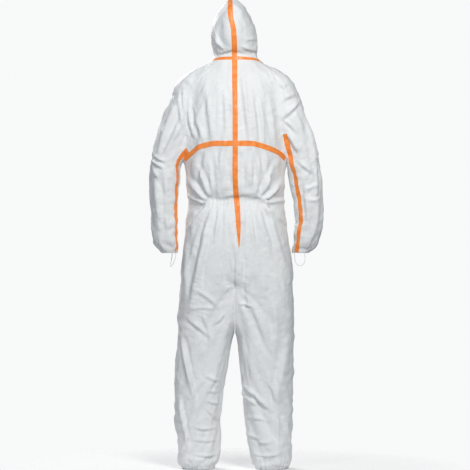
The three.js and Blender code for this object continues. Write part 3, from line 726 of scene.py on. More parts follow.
# %% Gathers at the elastics, and the small creases of handled cloth
x0, y0, z0 = flat.T
side0 = np.where(x0 < 0, -1.0, 1.0)
outward = normals_of(cloth_mesh)
arm = below_armpit(x0, z0)
leg = z0 < CROTCH_Z
turn_arm = np.arctan2(y0 - middle_of(SLEEVE, 5, z0), np.abs(x0) - middle_of(SLEEVE, 4, z0))
turn_leg = np.arctan2(y0, np.abs(x0) - middle_of(LEG, 4, z0))
turn_face = np.arctan2(z0 - FACE_Z, x0)
wander = ripple(flat, 16, 0.05, 0.12)
fine_wander = ripple(flat, 24, 0.018, 0.04)
rise = 1.25 * pressed(flat, BACK_FOLDS, 1) + pressed(flat, FRONT_FOLDS, -1)
rise += arm * 0.0016 * np.cos(21 * turn_arm + 1.5 * wander) * step(0.870, 0.815, z0)
rise += leg * 0.0017 * np.cos(27 * turn_leg + 1.5 * wander) * step(0.075, 0.012, z0)
face_ring = np.hypot(x0 / FACE_HALF_WIDTH, (z0 - FACE_Z) / FACE_HALF_HEIGHT)
on_face = (y0 < -0.012) & (z0 > 1.52)
rise += on_face * 0.0016 * np.cos(38 * turn_face + 1.5 * wander) * step(1.5, 1.06, face_ring)
waist = near(z0, WAIST_Z, 0.022) * step(-0.02, 0.05, y0) * step(0.112, 0.09, np.abs(x0))
rise += waist * (0.0026 * np.cos(2 * np.pi * x0 / 0.0135 + 1.6 * wander) - 0.005)
rise += 0.0009 * fine_wander * step(0.0, 1.4, np.abs(wander)) * (1 - waist)
finished = draped_points + rise[:, None] * outward
finished = relaxed(finished, edge_array(cloth_mesh), 1, 0.35)
ROUNDING_Z, ROUNDING = 0.842, 0.42  # from here down the elastic draws the cuff's outer side in
cuff_end = np.clip((ROUNDING_Z - z0) / (ROUNDING_Z - CUFF_Z), 0, 1) ** 1.5
beyond_middle = np.maximum(np.abs(finished[:, 0]) - middle_of(SLEEVE, 4, z0), 0)
finished[:, 0] -= side0 * arm * ROUNDING * cuff_end * beyond_middle
LEG_CLEARANCE = 0.0008  # each thigh stays this far from the middle
crossed = leg & (z0 > 0.40) & (side0 * finished[:, 0] < LEG_CLEARANCE)
finished[:, 0] = np.where(crossed, side0 * LEG_CLEARANCE, finished[:, 0])
finished[:, 2] = np.maximum(finished[:, 2], 0.0006)
zip_strip = (np.abs(x0) < 0.036) & (y0 < -0.05) & (z0 > 0.80) & (z0 < 1.5)
finished = np.where(zip_strip[:, None], flat, finished)

# %% The stance: a worn suit isn't the same left and right
def shifted(places, steps):
    """Millimetres at heights, "z mm" a row, between which the shift runs straight; out in metres."""
    steps = rows(steps)
    return np.interp(places, steps[:, 0] / 1000, steps[:, 1]) / 1000


thigh_wall = 0.013 * near(x0, 0, 0.022) * step(0.47, 0.55, z0) * step(0.76, 0.70, z0)
across = np.abs(finished[:, 0])
on_thigh = np.maximum(across - thigh_wall, LEG_CLEARANCE)
on_seat = across - np.minimum(thigh_wall, across * 0.8)
finished[:, 0] = side0 * np.where(leg, on_thigh, on_seat)
across = np.abs(finished[:, 0])
is_left = side0 > 0
on_trunk_side = ~arm & (z0 < 1.2)
outer_left = shifted(z0, """
20 0
140 4
200 10
300 11
400 8
460 4
620 0
""")
inner_left = shifted(z0, """
30 0
120 12
180 21
300 19
380 10
470 3
540 0
""")
outer_right = shifted(z0, """
300 0
440 4
500 9
665 11
740 15
790 14
890 9
963 12
1040 10
1080 4
1130 0
""")
arm_in = shifted(z0, """
812 0
830 3
889 6
926 13
1000 17
1040 11
1110 3
1150 0
""")
arm_out = shifted(z0, """
812 0
852 4
889 12
926 13
963 11
1000 6
1075 7
1140 0
""")
leg_share = np.clip((across - 0.03) / 0.17, 0, 1)
arm_share = np.clip((across - 0.20) / 0.11, 0, 1)
move = np.where(leg & is_left, inner_left + (outer_left - inner_left) * leg_share, 0.0)
move += np.where(on_trunk_side & ~is_left, -outer_right * step(0.02, 0.17, across), 0.0)
move += np.where(arm & ~is_left, -(arm_in + (arm_out - arm_in) * arm_share), 0.0)
move += 0.010 * step(1.56, 1.69, z0) * step(-0.05, 0.03, y0)
finished[:, 0] += move
shoulder = near(np.abs(x0), 0.165, 0.05) * step(0.1, 0.6, outward[:, 2]) * (z0 > 1.40) * (z0 < 1.53)
SHOULDER_LIFT = 0.013
finished += (SHOULDER_LIFT * shoulder)[:, None] * outward
print("moved sideways, m:", move.min().round(3), move.max().round(3))
cloth_mesh.vertices.foreach_set("co", finished.ravel())
cloth_mesh.update()
outward = normals_of(cloth_mesh)
print("rise from", rise.min().round(4), "to", rise.max().round(4), "m")

# %% [markdown]
# ## Parting the cloth at the joints
# The suit bends at the neck, elbows, hips and knees. Each stretch of cloth is a piece of its own,
# and the trunk's two pieces move with the torso. Every piece keeps the normals of the whole, so that no
# cut shows, and has the cloth's thickness inwards.

# %% Cloth pieces
CLOTH_THICKNESS = 0.0005


def walled(name, faces, p, n, thickness):
    """A closed piece: the faces at p, the same faces one thickness under them, and a rim round them."""
    used, local = np.unique(faces, return_inverse=True)
    local = local.reshape(-1, 4)
    count = len(used)
    directed = np.concatenate([local[:, [k, (k + 1) % 4]] for k in range(4)])
    code, back_code = directed @ [count, 1], directed @ [1, count]
    rim = directed[~np.isin(code, back_code)]
    rim_faces = np.stack([rim[:, 1], rim[:, 0], rim[:, 0] + count, rim[:, 1] + count], 1)
    mesh = mesh_from(
        name,
        np.concatenate([p[used], p[used] - thickness * n[used]]),
        np.concatenate([local, local[:, ::-1] + count, rim_faces]).tolist(),
    )
    mesh.polygons.foreach_set("use_smooth", np.ones(len(mesh.polygons), bool))
    mesh.normals_split_custom_set_from_vertices(np.concatenate([n[used], -n[used]]).tolist())
    return show(name, mesh)


middles = flat[quads].mean(1)
mx, my, mz = middles.T
on_arm = below_armpit(mx, mz)
on_leg = (mz < CROTCH_Z) & ~on_arm
above_neck = (middles - np.array(NECK_POINT)) @ np.array(NECK_NORMAL) > 0
on_hood = above_neck & (np.abs(mx) < 0.13) & (mz > 1.46)
on_trunk = ~(on_arm | on_leg | on_hood)
left, right = mx > 0, mx < 0
SIDES = (("left", left, 1), ("right", right, -1))
cloth_pieces = {}


def cloth_piece(name, chosen, *nodes):
    piece = walled(name, quads[chosen], finished, outward, CLOTH_THICKNESS)
    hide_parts(*nodes)
    cloth_pieces[name] = piece
    print(name, len(piece.data.polygons), "faces")
    return piece


for name, here, _ in SIDES:
    arm_name, thigh_name, shin_name = f"lower_sleeve_{name}", f"upper_leg_{name}", f"lower_leg_{name}"
    above_knee = mz > KNEE_SPLIT_Z
    sleeve = cloth_piece(f"sleeve_cloth_{name}", on_arm & here, arm_name, f"elbow_gather_{name}")
    thigh = cloth_piece(f"thigh_cloth_{name}", on_leg & here & above_knee, thigh_name, f"hip_gather_{name}")
    shin = cloth_piece(f"shin_cloth_{name}", on_leg & here & ~above_knee, shin_name, f"knee_gather_{name}")
    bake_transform(sleeve)
    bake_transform(thigh)
    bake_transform(shin)
hood = cloth_piece("hood_cloth", on_hood, "hood_left", "hood_right", "hood_neck_gather")
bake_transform(hood)
WAIST_SPLIT_Z = 1.10
trunk_nodes = [f"{n}_{s}" for n in ("front", "back_yoke", "upper_sleeve") for s in ("left", "right")]
above_waist = mz > WAIST_SPLIT_Z
upper = cloth_piece("upper_body_cloth", on_trunk & above_waist, *trunk_nodes)
seat = cloth_piece("lower_body_cloth", on_trunk & ~above_waist, "back_lower_left", "back_lower_right")
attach(upper, "torso")
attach(seat, "torso")

# %% [markdown]
# ## The orange tape over the seams
# Each needle hole of a sewn seam would let a chemical through, so a welded film tape, 20 mm wide,
# covers it. The tape was laid on the flat garment and then folds with it. So each tape is first
# laid on the net as it was before the solver ran, and its points are then carried to where that
# spot of cloth went.

# %% Places on the flat net and on the finished cloth
def net_of(chosen):
    """The chosen faces of the flat net as triangles, and a tree to search them by."""
    corners = np.concatenate([quads[chosen][:, [0, 1, 2]], quads[chosen][:, [0, 2, 3]]])
    return corners, BVHTree.FromPolygons(flat.tolist(), corners.tolist())


whole_net, arm_net = net_of(on_trunk | on_leg | on_hood | on_arm), net_of(on_arm)
flat_tree = whole_net[1]
flat_normals = normals_of(finer(points))


def carried(places, on=whole_net):
    """Places near the flat net -> (on the flat net, its normals, on the finished cloth, its normals)."""
    flat_places = np.asarray(places).reshape(-1, 3)
    found = [on[1].find_nearest(q) for q in flat_places.tolist()]
    spot = np.array([f[0] for f in found])
    corner = on[0][[f[2] for f in found]]
    a, b, c = (flat[corner[:, k]] for k in range(3))
    u, v, w = b - a, c - a, spot - a
    uu, uv, vv = (u * u).sum(1), (u * v).sum(1), (v * v).sum(1)
    wu, wv = (w * u).sum(1), (w * v).sum(1)
    area = np.maximum(uu * vv - uv * uv, 1e-18)
    s, t = (vv * wu - uv * wv) / area, (uu * wv - uv * wu) / area
    share = np.clip(np.stack([1 - s - t, s, t], 1), 0, 1)[:, :, None]
    blend_of = lambda values: (values[corner] * share).sum(1)
    unit = lambda n: n / np.maximum(np.linalg.norm(n, axis=1), 1e-9)[:, None]
    return spot, unit(blend_of(flat_normals)), blend_of(finished), unit(blend_of(outward))


def evenly(path, gap):
    """The path's points again, one every gap metres."""
    path = np.asarray(path, float)
    run = np.concatenate([[0], np.cumsum(np.linalg.norm(np.diff(path, axis=0), axis=1))])
    at = np.linspace(0, run[-1], max(2, int(round(run[-1] / gap)) + 1))
    return np.stack([np.interp(at, run, path[:, k]) for k in range(path.shape[1])], 1)


def seen_from(face, xz):
    """The flat net's point behind (face 1) or in front (-1) of x, z in millimetres."""
    hits = []
    for x, z in np.asarray(xz) / 1000:
        hit = flat_tree.ray_cast(Vector((x, 0.6 * face, z)), Vector((0, -face, 0)))[0]
        hits.append(hit if hit is not None else flat_tree.find_nearest((x, 0.03 * face, z))[0])
    return np.array(hits)


TAPE_LIFT = 0.0009
TAPE_SUNK = 0.0002  # a tape's underside lies this far inside the cloth
LINING_GAP = 0.0004  # between the cloth and a strip under it


def smooth_rows(p, rounds):
    """Each row moves to the mean of itself and its two neighbours; the ends stay."""
    p = p.copy()
    for _ in range(rounds):
        p[1:-1] = (p[:-2] + 2 * p[1:-1] + p[2:]) / 4
    return p


def ribbon(name, path, half_widths, lift=TAPE_LIFT, across=9, on=whole_net):
    """
    A tape along path on the flat net, half_widths[i] either side of point i. Point (i, j) is
    path + cross(normal, ahead) * half_width * s_j with s_j from -1 to 1, carried to the finished
    cloth and lifted off it; the tape is closed below and at its edges.
    """
    path = smooth_rows(path, 3)
    centre, normal, _, _ = carried(path, on)
    ahead = np.gradient(centre, axis=0)
    sideways = np.cross(normal, ahead)
    sideways /= np.maximum(np.linalg.norm(sideways, axis=1), 1e-9)[:, None]
    s = np.linspace(-1, 1, across)
    wide = np.broadcast_to(half_widths, len(path))
    grid = centre[:, None] + sideways[:, None] * (wide[:, None] * s)[:, :, None]
    _, _, place, n = carried(grid, on)
    rows_n = len(path)
    edge = np.where(np.abs(s) > 0.99, 0.35, 1.0)
    edge = np.ones(across) if lift < 0 else edge
    top = place + n * (lift * np.tile(edge, rows_n))[:, None]
    faces = grid_faces(rows_n, across, False)
    probe = top[faces[len(faces) // 2]]
    if np.dot(np.cross(probe[1] - probe[0], probe[2] - probe[1]), n[faces[len(faces) // 2][0]]) < 0:
        faces = faces[:, ::-1]
    thickness = lift + TAPE_SUNK if lift > 0 else -lift - CLOTH_THICKNESS - LINING_GAP
    piece = walled(name, faces, top, n, thickness)
    layer = piece.data.uv_layers.new(name="along_tape")
    run = np.concatenate([[0], np.cumsum(np.linalg.norm(np.diff(centre, axis=0), axis=1))])
    uv = np.stack([np.repeat(run, across), np.tile(s, rows_n) * np.repeat(wide, across)], 1)
    uv = np.concatenate([uv, uv])
    loops = np.empty(len(piece.data.loops), int)
    piece.data.loops.foreach_get("vertex_index", loops)
    layer.data.foreach_set("uv", uv[loops].ravel())
    print(name, round(float(run[-1]), 3), "m long")
    return piece


def with_bends(xz):
    """A polyline rounded at its points: every 4 mm along a Catmull-Rom curve."""
    xz = np.asarray(xz, float)
    table = np.concatenate([xz, np.zeros((len(xz), 1))], 1)
    return evenly(along(table, np.linspace(0, len(xz) - 1, 12 * len(xz)))[:, :2], 4.0)


# %% The tapes on the trunk
TAPE_HALF = 0.0098
centre_line = with_bends([
    (2, 1524), (1, 1480), (0, 1300), (-1, 1215), (-1, 1120),
    (-3, 1040), (-8, 985), (-12, 925), (-14, 880), (-16, 828),
])
centre_half = TAPE_HALF * np.interp(centre_line[:, 1], [826, 838, 900, 960], [0.06, 0.3, 0.85, 1.0])
centre = ribbon("centre_back_tape", seen_from(1, centre_line), centre_half)
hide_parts("centre_back_tape")
yoke_line = with_bends([
    (186, 1158), (177, 1168), (143, 1196), (105, 1208), (75, 1212), (37, 1211),
    (6, 1212), (-68, 1211), (-118, 1200), (-162, 1184), (-187, 1162),
])
yoke = ribbon("yoke_tape", seen_from(1, yoke_line), TAPE_HALF, lift=0.0014)
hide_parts("yoke_tape_left", "yoke_tape_right")
turn = np.radians(np.linspace(-62, 242, 150))
ring = np.stack([0.094 * np.cos(turn), -0.007 + 0.086 * np.sin(turn), 0 * turn], 1)
ring[:, 2] = neck_height(ring[:, 1]) - 0.003
neck = ribbon("neck_tape", ring, TAPE_HALF * 0.6, lift=0.0012)
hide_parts("neck_tape_left", "neck_tape_right")
for piece in (centre, yoke, neck):
    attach(piece, "torso")

# %% The elastic in the waist and the blank label in the neck, on the cloth's inner face
def lining(name, path, half_width, thickness, node, body="torso", on=whole_net):
    """A strip like a tape, but under the cloth."""
    strip = ribbon(name, path, half_width, lift=-CLOTH_THICKNESS - LINING_GAP - thickness, on=on)
    strip.data.uv_layers[0].name = "along_strip"
    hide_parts(node)
    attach(strip, body)
    return strip


ELASTIC_HALF, ELASTIC_THICKNESS = 0.0045, 0.0012
waist_line = np.stack([np.linspace(150, -150, 90), np.full(90, 1000 * WAIST_Z)], 1)
waist_strip = lining(
    "waist_elastic_strip", seen_from(1, waist_line), ELASTIC_HALF, ELASTIC_THICKNESS,
    "waist_elastic",
)
label_line = np.stack([np.full(12, 0.0), np.linspace(1496, 1470, 12)], 1)
label_strip = lining("blank_label_strip", seen_from(1, label_line), 0.018, 0.0003, "size_label")
CUFF_ELASTIC_Z = 0.8100
half, front, back, middle_x, middle_y = (middle_of(SLEEVE, k, CUFF_ELASTIC_Z) for k in range(1, 6))
round_cuff = np.linspace(0, 2 * np.pi, 150)[:-1]
cuff_depth = np.where(np.sin(round_cuff) < 0, front, back)
for name, _, sign in SIDES:
    ring = np.stack([
        sign * (middle_x + half * np.cos(round_cuff)),
        middle_y + cuff_depth * np.sin(round_cuff),
        0 * round_cuff + CUFF_ELASTIC_Z,
    ], 1)
    lining(
        f"cuff_elastic_strip_{name}", ring, ELASTIC_HALF, ELASTIC_THICKNESS,
        f"cuff_elastic_{name}", body=f"lower_sleeve_{name}", on=arm_net,
    )

# %% The tapes down the sleeves and over the hood
SLEEVE_LINES = {
    "left": [
        (176, 1192), (190, 1178), (207, 1150), (209, 1080),
        (214, 1000), (215, 938), (214, 870), (214, 806),
    ],
    "right": [
        (-186, 1252), (-198, 1200), (-207, 1160), (-213, 1120), (-220, 1050),
        (-224, 1000), (-227, 938), (-227, 870), (-228, 806),
    ],
}
for name, _, _ in SIDES:
    path = seen_from(1, with_bends(SLEEVE_LINES[name]))
    above = path[:, 2] > ARM_SPLIT_Z
    last = int(np.flatnonzero(above)[-1])
    on_body = ribbon(f"sleeve_tape_upper_{name}", path[: last + 2], TAPE_HALF)
    on_sleeve = ribbon(f"sleeve_tape_lower_{name}", path[last:], TAPE_HALF, on=arm_net)
    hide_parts(f"sleeve_tape_upper_{name}")
    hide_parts(f"sleeve_tape_lower_{name}")
    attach(on_body, "torso")
    arm_name = f"lower_sleeve_{name}"
    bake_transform(on_sleeve)
turn = np.radians(np.linspace(-50, 119, 110))
over = []
for a in turn:
    hit = flat_tree.ray_cast(Vector((0, 0, 1.62)), Vector((0, math.cos(a), math.sin(a))))[0]
    over.append(hit if hit is not None else over[-1])
over = np.array(over)
over[:, 0] = np.interp(
    over[:, 2], [1.526, 1.56, 1.60, 1.64, 1.68, 1.74], [0.002, 0.002, 0.001, -0.001, 0.006, 0.009]
)
over_hood = ribbon("hood_tape", evenly(over, 0.004), TAPE_HALF, lift=0.0010)
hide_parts("hood_tape", "hood_tape_lower")
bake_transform(over_hood)

# %% [markdown]
# ## The closure
# A coil zip runs up the front: two nylon spirals that hook into each other, each sewn to a woven
# tape. A storm flap covers it, and a small flap with a strip of adhesive under release paper folds
# over the chin. Both flaps are cloth, folded double at their edges and stitched.

# %% The closure's own axes
ZIP_TILT = math.atan(54 / 690)
ZIP_ORIGIN = Vector((0, -0.14483, 0.815))
closure = Matrix.Translation(ZIP_ORIGIN) @ Matrix.Rotation(-ZIP_TILT, 4, "X")
ZIP_LENGTH = 0.67305


def placed(p, m=closure):
    """Points moved by a matrix."""
    m = np.array(m)
    return np.asarray(p).reshape(-1, 3) @ m[:3, :3].T + m[:3, 3]


def round_piece(name, line, up, turn, radius, m=Matrix()):
    """
    A closed round bar along a line, moved by a matrix: line + radius * (cos(turn) * first + sin(turn) *
    second), with first = cross(ahead, up) and second = cross(ahead, first), both of length 1.
    """
    ahead = np.gradient(line, axis=0)
    ahead /= np.linalg.norm(ahead, axis=1)[:, None]
    first = np.cross(ahead, up)
    first /= np.linalg.norm(first, axis=1)[:, None]
    second = np.cross(ahead, first)
    spoke = np.cos(turn)[None, :, None] * first[:, None] + np.sin(turn)[None, :, None] * second[:, None]
    wall = line[:, None] + radius * spoke
    points, faces = capped(placed(wall, m).reshape(wall.shape))
    piece = show(name, mesh_from(name, points, faces))
    recheck = bmesh.new()
    recheck.from_mesh(piece.data)
    bmesh.ops.recalc_face_normals(recheck, faces=recheck.faces[:])
    recheck.to_mesh(piece.data)
    recheck.free()
    piece.data.polygons.foreach_set("use_smooth", np.ones(len(piece.data.polygons), bool))
    return piece


# %% The two spirals
PITCH, WIRE = 0.0016, 0.00028
COIL_MIDDLE, COIL_HALF_WIDTH = 0.00035 + 0.4e-3 + 1.35e-3, 1.05e-3
COIL_RISE, COIL_HALF_HEIGHT, COIL_START = 0.00085, 0.55e-3, 0.0044
turns = int((ZIP_LENGTH - 0.0088) / PITCH)
for name, sign in (("left", 1), ("right", -1)):
    t = np.arange(turns * 8 + 1) / 8
    turn = 2 * np.pi * t
    middle = np.stack(
        [
            sign * (COIL_MIDDLE - COIL_HALF_WIDTH * np.cos(turn)) + 0 * t,
            -COIL_RISE + COIL_HALF_HEIGHT * np.sin(turn),
            COIL_START + PITCH * t + (0.5 * PITCH if sign < 0 else 0),
        ],
        1,
    )
    ring = np.radians([0, 90, 180, 270])
    coil = round_piece(f"zip_coil_teeth_{name}", middle, (0.0, 0.0, 1.0), ring, WIRE, closure)
    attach(coil, "torso")
    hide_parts(f"zip_coil_{name}")
print("coil turns a side:", turns)

# %% The two flaps
FLAP_HALF, FLAP_LIP, FLAP_RISE = 0.033, 0.016, 0.0096
FLAP_THICKNESS, HEM = 0.0006, 0.0065
STORM_FLAP_LENGTH, CHIN_FLAP_LENGTH = 0.579, 0.082


def flap_height(x):
    """The flap's section: 0 on its lips, FLAP_RISE over the zip, with a rounded slope between."""
    return FLAP_RISE * step(FLAP_HALF - FLAP_LIP + 0.0006, FLAP_HALF - FLAP_LIP - 0.0056, np.abs(x))


def flap_cloth(name, length, matrix):
    """A flap as cloth: (x across, height + a small wave, z along), folded double at its edges."""
    x = np.linspace(-FLAP_HALF, FLAP_HALF, 45)
    z = np.linspace(0, length, int(length / 0.0045) + 1)
    xx, zz = np.meshgrid(x, z)
    free = step(-FLAP_HALF + 0.010, 0.004, xx)
    spot = np.stack([xx, 0 * xx, zz], 2).reshape(-1, 3)
    wave = (0.00035 * ripple(spot, 12, 0.02, 0.06)).reshape(xx.shape) * free
    from_side, from_end = FLAP_HALF - np.abs(xx), np.minimum(zz, length - zz)
    folded = step(HEM + 0.0003, HEM - 0.0003, from_side) + 1 - step(HEM - 0.0003, HEM + 0.0003, from_end)
    high = flap_height(xx) + FLAP_THICKNESS + np.abs(wave) * (flap_height(xx) > 0.004) + 0.00025 * folded
    p = np.stack([xx, -high, zz], 2).reshape(-1, 3)
    n = np.tile((0.0, -1.0, 0.0), (len(p), 1))
    faces = grid_faces(len(z), len(x), False)
    turned = (np.array(matrix)[:3, :3] @ n.T).T
    piece = walled(name, faces, placed(p, matrix), turned, FLAP_THICKNESS)
    piece.data.normals_split_custom_set([(0, 0, 0)] * len(piece.data.loops))
    return piece


storm_at = closure @ Matrix.Translation((0, -0.0004, 0))
storm = flap_cloth("storm_flap_cloth", STORM_FLAP_LENGTH, storm_at)
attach(storm, "storm_flap")
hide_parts("storm_flap")
chin_hinge = closure @ Matrix.Translation((-FLAP_HALF, -0.0009, ZIP_LENGTH - CHIN_FLAP_LENGTH))
chin_swing = Matrix.Rotation(-math.radians(150), 4, "Z")
chin_at = chin_hinge @ chin_swing @ Matrix.Translation((FLAP_HALF, FLAP_THICKNESS, 0))
chin = flap_cloth("chin_flap_cloth", CHIN_FLAP_LENGTH, chin_at)
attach(chin, "chin_flap")
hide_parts("chin_flap")

# %% [markdown]
# ## Thumb loops
# A thin elastic cord is sewn into each cuff. Over the thumb it keeps the sleeve down. It hangs in
# its natural loop from its two ends.

# %% Loops
LOOP_POINTS = {
    "left": rows("""
221 -11.7 801.5
221.5 -12.5 792
223.5 -14 782
226.5 -17 772
231 -21 763
236 -27 756
240 -34 752.5
242 -42 753.5
242 -50 758.5
240.5 -56 766.5
238.5 -60.5 776
237 -63 786
236 -64 794
236 -64.2 801.5
"""),
    "right": rows("""
-222 -10.3 801.5
-222 -10 792
-222.5 -9.5 782
-225 -8 772
-229.5 -6 763
-236 -4 757
-244 -2 755
-251.5 -1 758
-257 0 764.5
-260 1 774
-261 1.6 784
-260.5 2 793
-260 2 801.5
"""),
}
LOOP_DIAMETER, LOOP_STEP = 0.0024, 0.0012
for name, table in LOOP_POINTS.items():
    line = evenly(along(table, np.linspace(0, len(table) - 1, 400))[:, :3] / 1000, LOOP_STEP)
    turn = np.linspace(0, 2 * np.pi, 14, endpoint=False)
    run = np.arange(len(line))[:, None] * LOOP_STEP
    braid = 1 - 0.05 * (0.5 + 0.5 * np.cos(3 * turn[None] - 2 * np.pi * run / 0.004))
    radius = (LOOP_DIAMETER / 2 * braid)[:, :, None]
    loop = round_piece(f"thumb_loop_cord_{name}", line, (0.0, 1.0, 0.15), turn, radius)
    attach(loop, f"lower_sleeve_{name}")
    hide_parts(f"thumb_loop_{name}")

# %% [markdown]
# ## Materials
# The patterns are worked out from each point's place, so they need no pictures. A small class wraps
# a shader socket, so that the maths of a pattern reads as maths.

# %% Shader maths
class Value:
    """A socket that carries a number: + - and * add Math nodes."""

    def __init__(self, shader, socket):
        self.shader, self.socket = shader, socket

    def _with(self, operation, *others, swap=False):
        ends = [self.socket, *(o.socket if isinstance(o, Value) else o for o in others)]
        if swap:
            ends.reverse()
        return self.shader.node("ShaderNodeMath", {"operation": operation}, dict(enumerate(ends)))

    def __add__(self, other):
        return self._with("ADD", other)

    def __sub__(self, other):
        return self._with("SUBTRACT", other)

    def __rsub__(self, other):
        return self._with("SUBTRACT", other, swap=True)

    def __mul__(self, other):
        return self._with("MULTIPLY", other)

    def magnitude(self):
        return self._with("ABSOLUTE")

    def between(self, low, high):
        """0 at low, 1 at high, held to that range."""
        inputs = {0: self.socket, 1: low, 2: high}
        return self.shader.node("ShaderNodeMapRange", {"clamp": True}, inputs)

    __radd__ = __add__
    __rmul__ = __mul__


class Finish:
    """A material and its main shader."""

    def __init__(self, name, colour, roughness, **constants):
        self.material = bpy.data.materials.new(name)
        self.material.use_nodes = True
        self.tree = self.material.node_tree
        self.shader = self.tree.nodes["Principled BSDF"]
        self.shader.inputs["Base Color"].default_value = (*colour, 1)
        self.shader.inputs["Roughness"].default_value = roughness
        for socket, value in constants.items():
            self.shader.inputs[socket.replace("_", " ")].default_value = value
        self.material.diffuse_color = (*colour, 1)

    def node(self, kind, settings, inputs, output=0):
        """A node of that kind: its settings first, then its sockets' values or links."""
        made = self.tree.nodes.new(kind)
        for key, value in settings.items():
            if key == "stops":
                ramp = made.color_ramp
                ramp.elements[0].position, ramp.elements[0].color = value[0][0], (*value[0][1], 1)
                ramp.elements[1].position, ramp.elements[1].color = value[-1][0], (*value[-1][1], 1)
                for place, colour in value[1:-1]:
                    ramp.elements.new(place).color = (*colour, 1)
            else:
                setattr(made, key, value)
        for socket, value in inputs.items():
            value = value.socket if isinstance(value, Value) else value
            if isinstance(value, bpy.types.NodeSocket):
                self.tree.links.new(value, made.inputs[socket])
            else:
                made.inputs[socket].default_value = value
        return Value(self, made.outputs[output])

    def places(self, stretch=(1, 1, 1)):
        """Object coordinates in metres, stretched."""
        spot = self.node("ShaderNodeTexCoord", {}, {}, "Object")
        return self.node("ShaderNodeMapping", {}, {"Vector": spot, "Scale": stretch})

    def noise(self, scale, detail=4, roughness=0.55, stretch=(1, 1, 1), distortion=0.0):
        inputs = {"Vector": self.places(stretch), "Scale": scale, "Detail": detail}
        inputs |= {"Roughness": roughness, "Distortion": distortion}
        return self.node("ShaderNodeTexNoise", {}, inputs)

    def bands(self, axis, scale, **inputs):
        """Even stripes across an axis."""
        settings = {"wave_type": "BANDS", "bands_direction": axis}
        inputs = {"Vector": self.places(), "Scale": scale, **inputs}
        return self.node("ShaderNodeTexWave", settings, inputs, "Fac")

    def ramp(self, value, *stops):
        return self.node("ShaderNodeValToRGB", {"stops": stops}, {0: value})

    def feed(self, socket, value):
        self.tree.links.new(value.socket, self.shader.inputs[socket])

    def bump(self, height, strength, distance, over=None):
        inputs = {"Height": height, "Strength": strength, "Distance": distance}
        if over is not None:
            inputs["Normal"] = over
        return self.node("ShaderNodeBump", {}, inputs, "Normal")

    def on(self, *pieces):
        for piece in pieces:
            piece.data.materials.clear()
            piece.data.materials.append(self.material)


# %% The cloth: white fibres pressed into a sheet under a thin film, creased by handling
def cloth_finish(name, light, dark):
    finish = Finish(name, light, 0.6, Specular_IOR_Level=0.35)
    fibre = finish.noise(420, 3, 0.6, stretch=(1, 1, 0.35), distortion=0.6)
    clouds = finish.noise(9, 5, 0.6)
    grain = finish.noise(95, 4, 0.65)
    tone = (fibre * 0.35 + clouds * 0.4 + grain * 0.25).between(0.34, 0.66)
    finish.feed("Base Color", finish.ramp(tone, (0.0, dark), (1.0, light)))
    finish.feed("Roughness", 0.5 + grain * 0.22)
    warp = finish.noise(14, 3, 0.6)
    crinkle = (finish.noise(34, 4, 0.55, distortion=1.4) - 0.5).magnitude() * 2
    wide = (finish.noise(11, 3, 0.5, distortion=1.2) - 0.5).magnitude() * 2
    sharp = 1 - crinkle.between(0.0, 0.25)
    long_crease = 1 - wide.between(0.0, 0.12)
    where = warp.between(0.42, 0.62)
    coarse = finish.bump(sharp * where * 0.5 + long_crease * 0.35, 0.5, 0.0026)
    small = finish.bump(fibre * 0.5 + grain * 0.5, 0.09, 0.0006, coarse)
    finish.feed("Normal", small)
    return finish


cloth = cloth_finish("nonwoven_cloth", (0.845, 0.86, 0.86), (0.735, 0.755, 0.76))
cloth.on(*cloth_pieces.values(), storm, chin)

# %% The tape: satin film, a little darker where it is pressed and where it creases
tape = Finish("seam_tape_film", (1.0, 0.31, 0.055), 0.38, Specular_IOR_Level=0.5)
streak = tape.noise(60, 4, 0.6)
fleck = tape.noise(260, 2, 0.5)
shade = (streak * 0.7 + fleck * 0.3).between(0.36, 0.64)
tape.feed("Base Color", tape.ramp(shade, (0.0, (0.93, 0.215, 0.025)), (1.0, (1.0, 0.34, 0.07))))
tape.feed("Roughness", 0.3 + streak * 0.25)
tape.feed("Normal", tape.bump(streak * 0.6 + fleck * 0.4, 0.25, 0.0006))
meshes = [o for o in bpy.data.objects if o.type == "MESH"]
tape.on(*(o for o in meshes if "along_tape" in o.data.uv_layers))

# %% Elastic, woven tape, plastic, release paper, label
ribbed = Finish("ribbed_elastic", (0.80, 0.81, 0.82), 0.8)
ribs = ribbed.bands("Z", 260.0, Distortion=1.5, Detail=2.0)
weft = ribbed.noise(500, 2)
knit = ribs * 0.6 + weft * 0.4
ribbed.feed("Base Color", ribbed.ramp(knit, (0.2, (0.70, 0.71, 0.73)), (0.8, (0.88, 0.89, 0.89))))
ribbed.feed("Normal", ribbed.bump(ribs * 0.7 + weft * 0.3, 0.4, 0.0004))
woven = Finish("woven_zip_tape", (0.85, 0.85, 0.85), 0.75)
weave = woven.bands("X", 480.0) * woven.bands("Z", 480.0)
woven.feed("Base Color", woven.ramp(weave, (0.0, (0.76, 0.76, 0.77)), (1.0, (0.90, 0.90, 0.90))))
woven.feed("Normal", woven.bump(weave, 0.4, 0.0003))
plastic = Finish("zip_plastic", (0.86, 0.86, 0.87), 0.32, Specular_IOR_Level=0.5)
scuff = plastic.noise(700, 3)
plastic.feed("Roughness", 0.24 + scuff * 0.2)
plastic.feed("Base Color", plastic.ramp(scuff, (0.3, (0.80, 0.80, 0.815)), (0.7, (0.87, 0.87, 0.875))))
plastic.feed("Normal", plastic.bump(scuff, 0.08, 0.0002))
paper = Finish("release_paper", (0.93, 0.93, 0.88), 0.35, Coat_Weight=0.25)
speck = paper.noise(300, 3)
paper.feed("Base Color", paper.ramp(speck, (0.3, (0.90, 0.90, 0.84)), (0.7, (0.95, 0.95, 0.91))))
paper.feed("Normal", paper.bump(paper.noise(40, 3), 0.15, 0.0008))
label = Finish("blank_label", (0.9, 0.9, 0.9), 0.6)
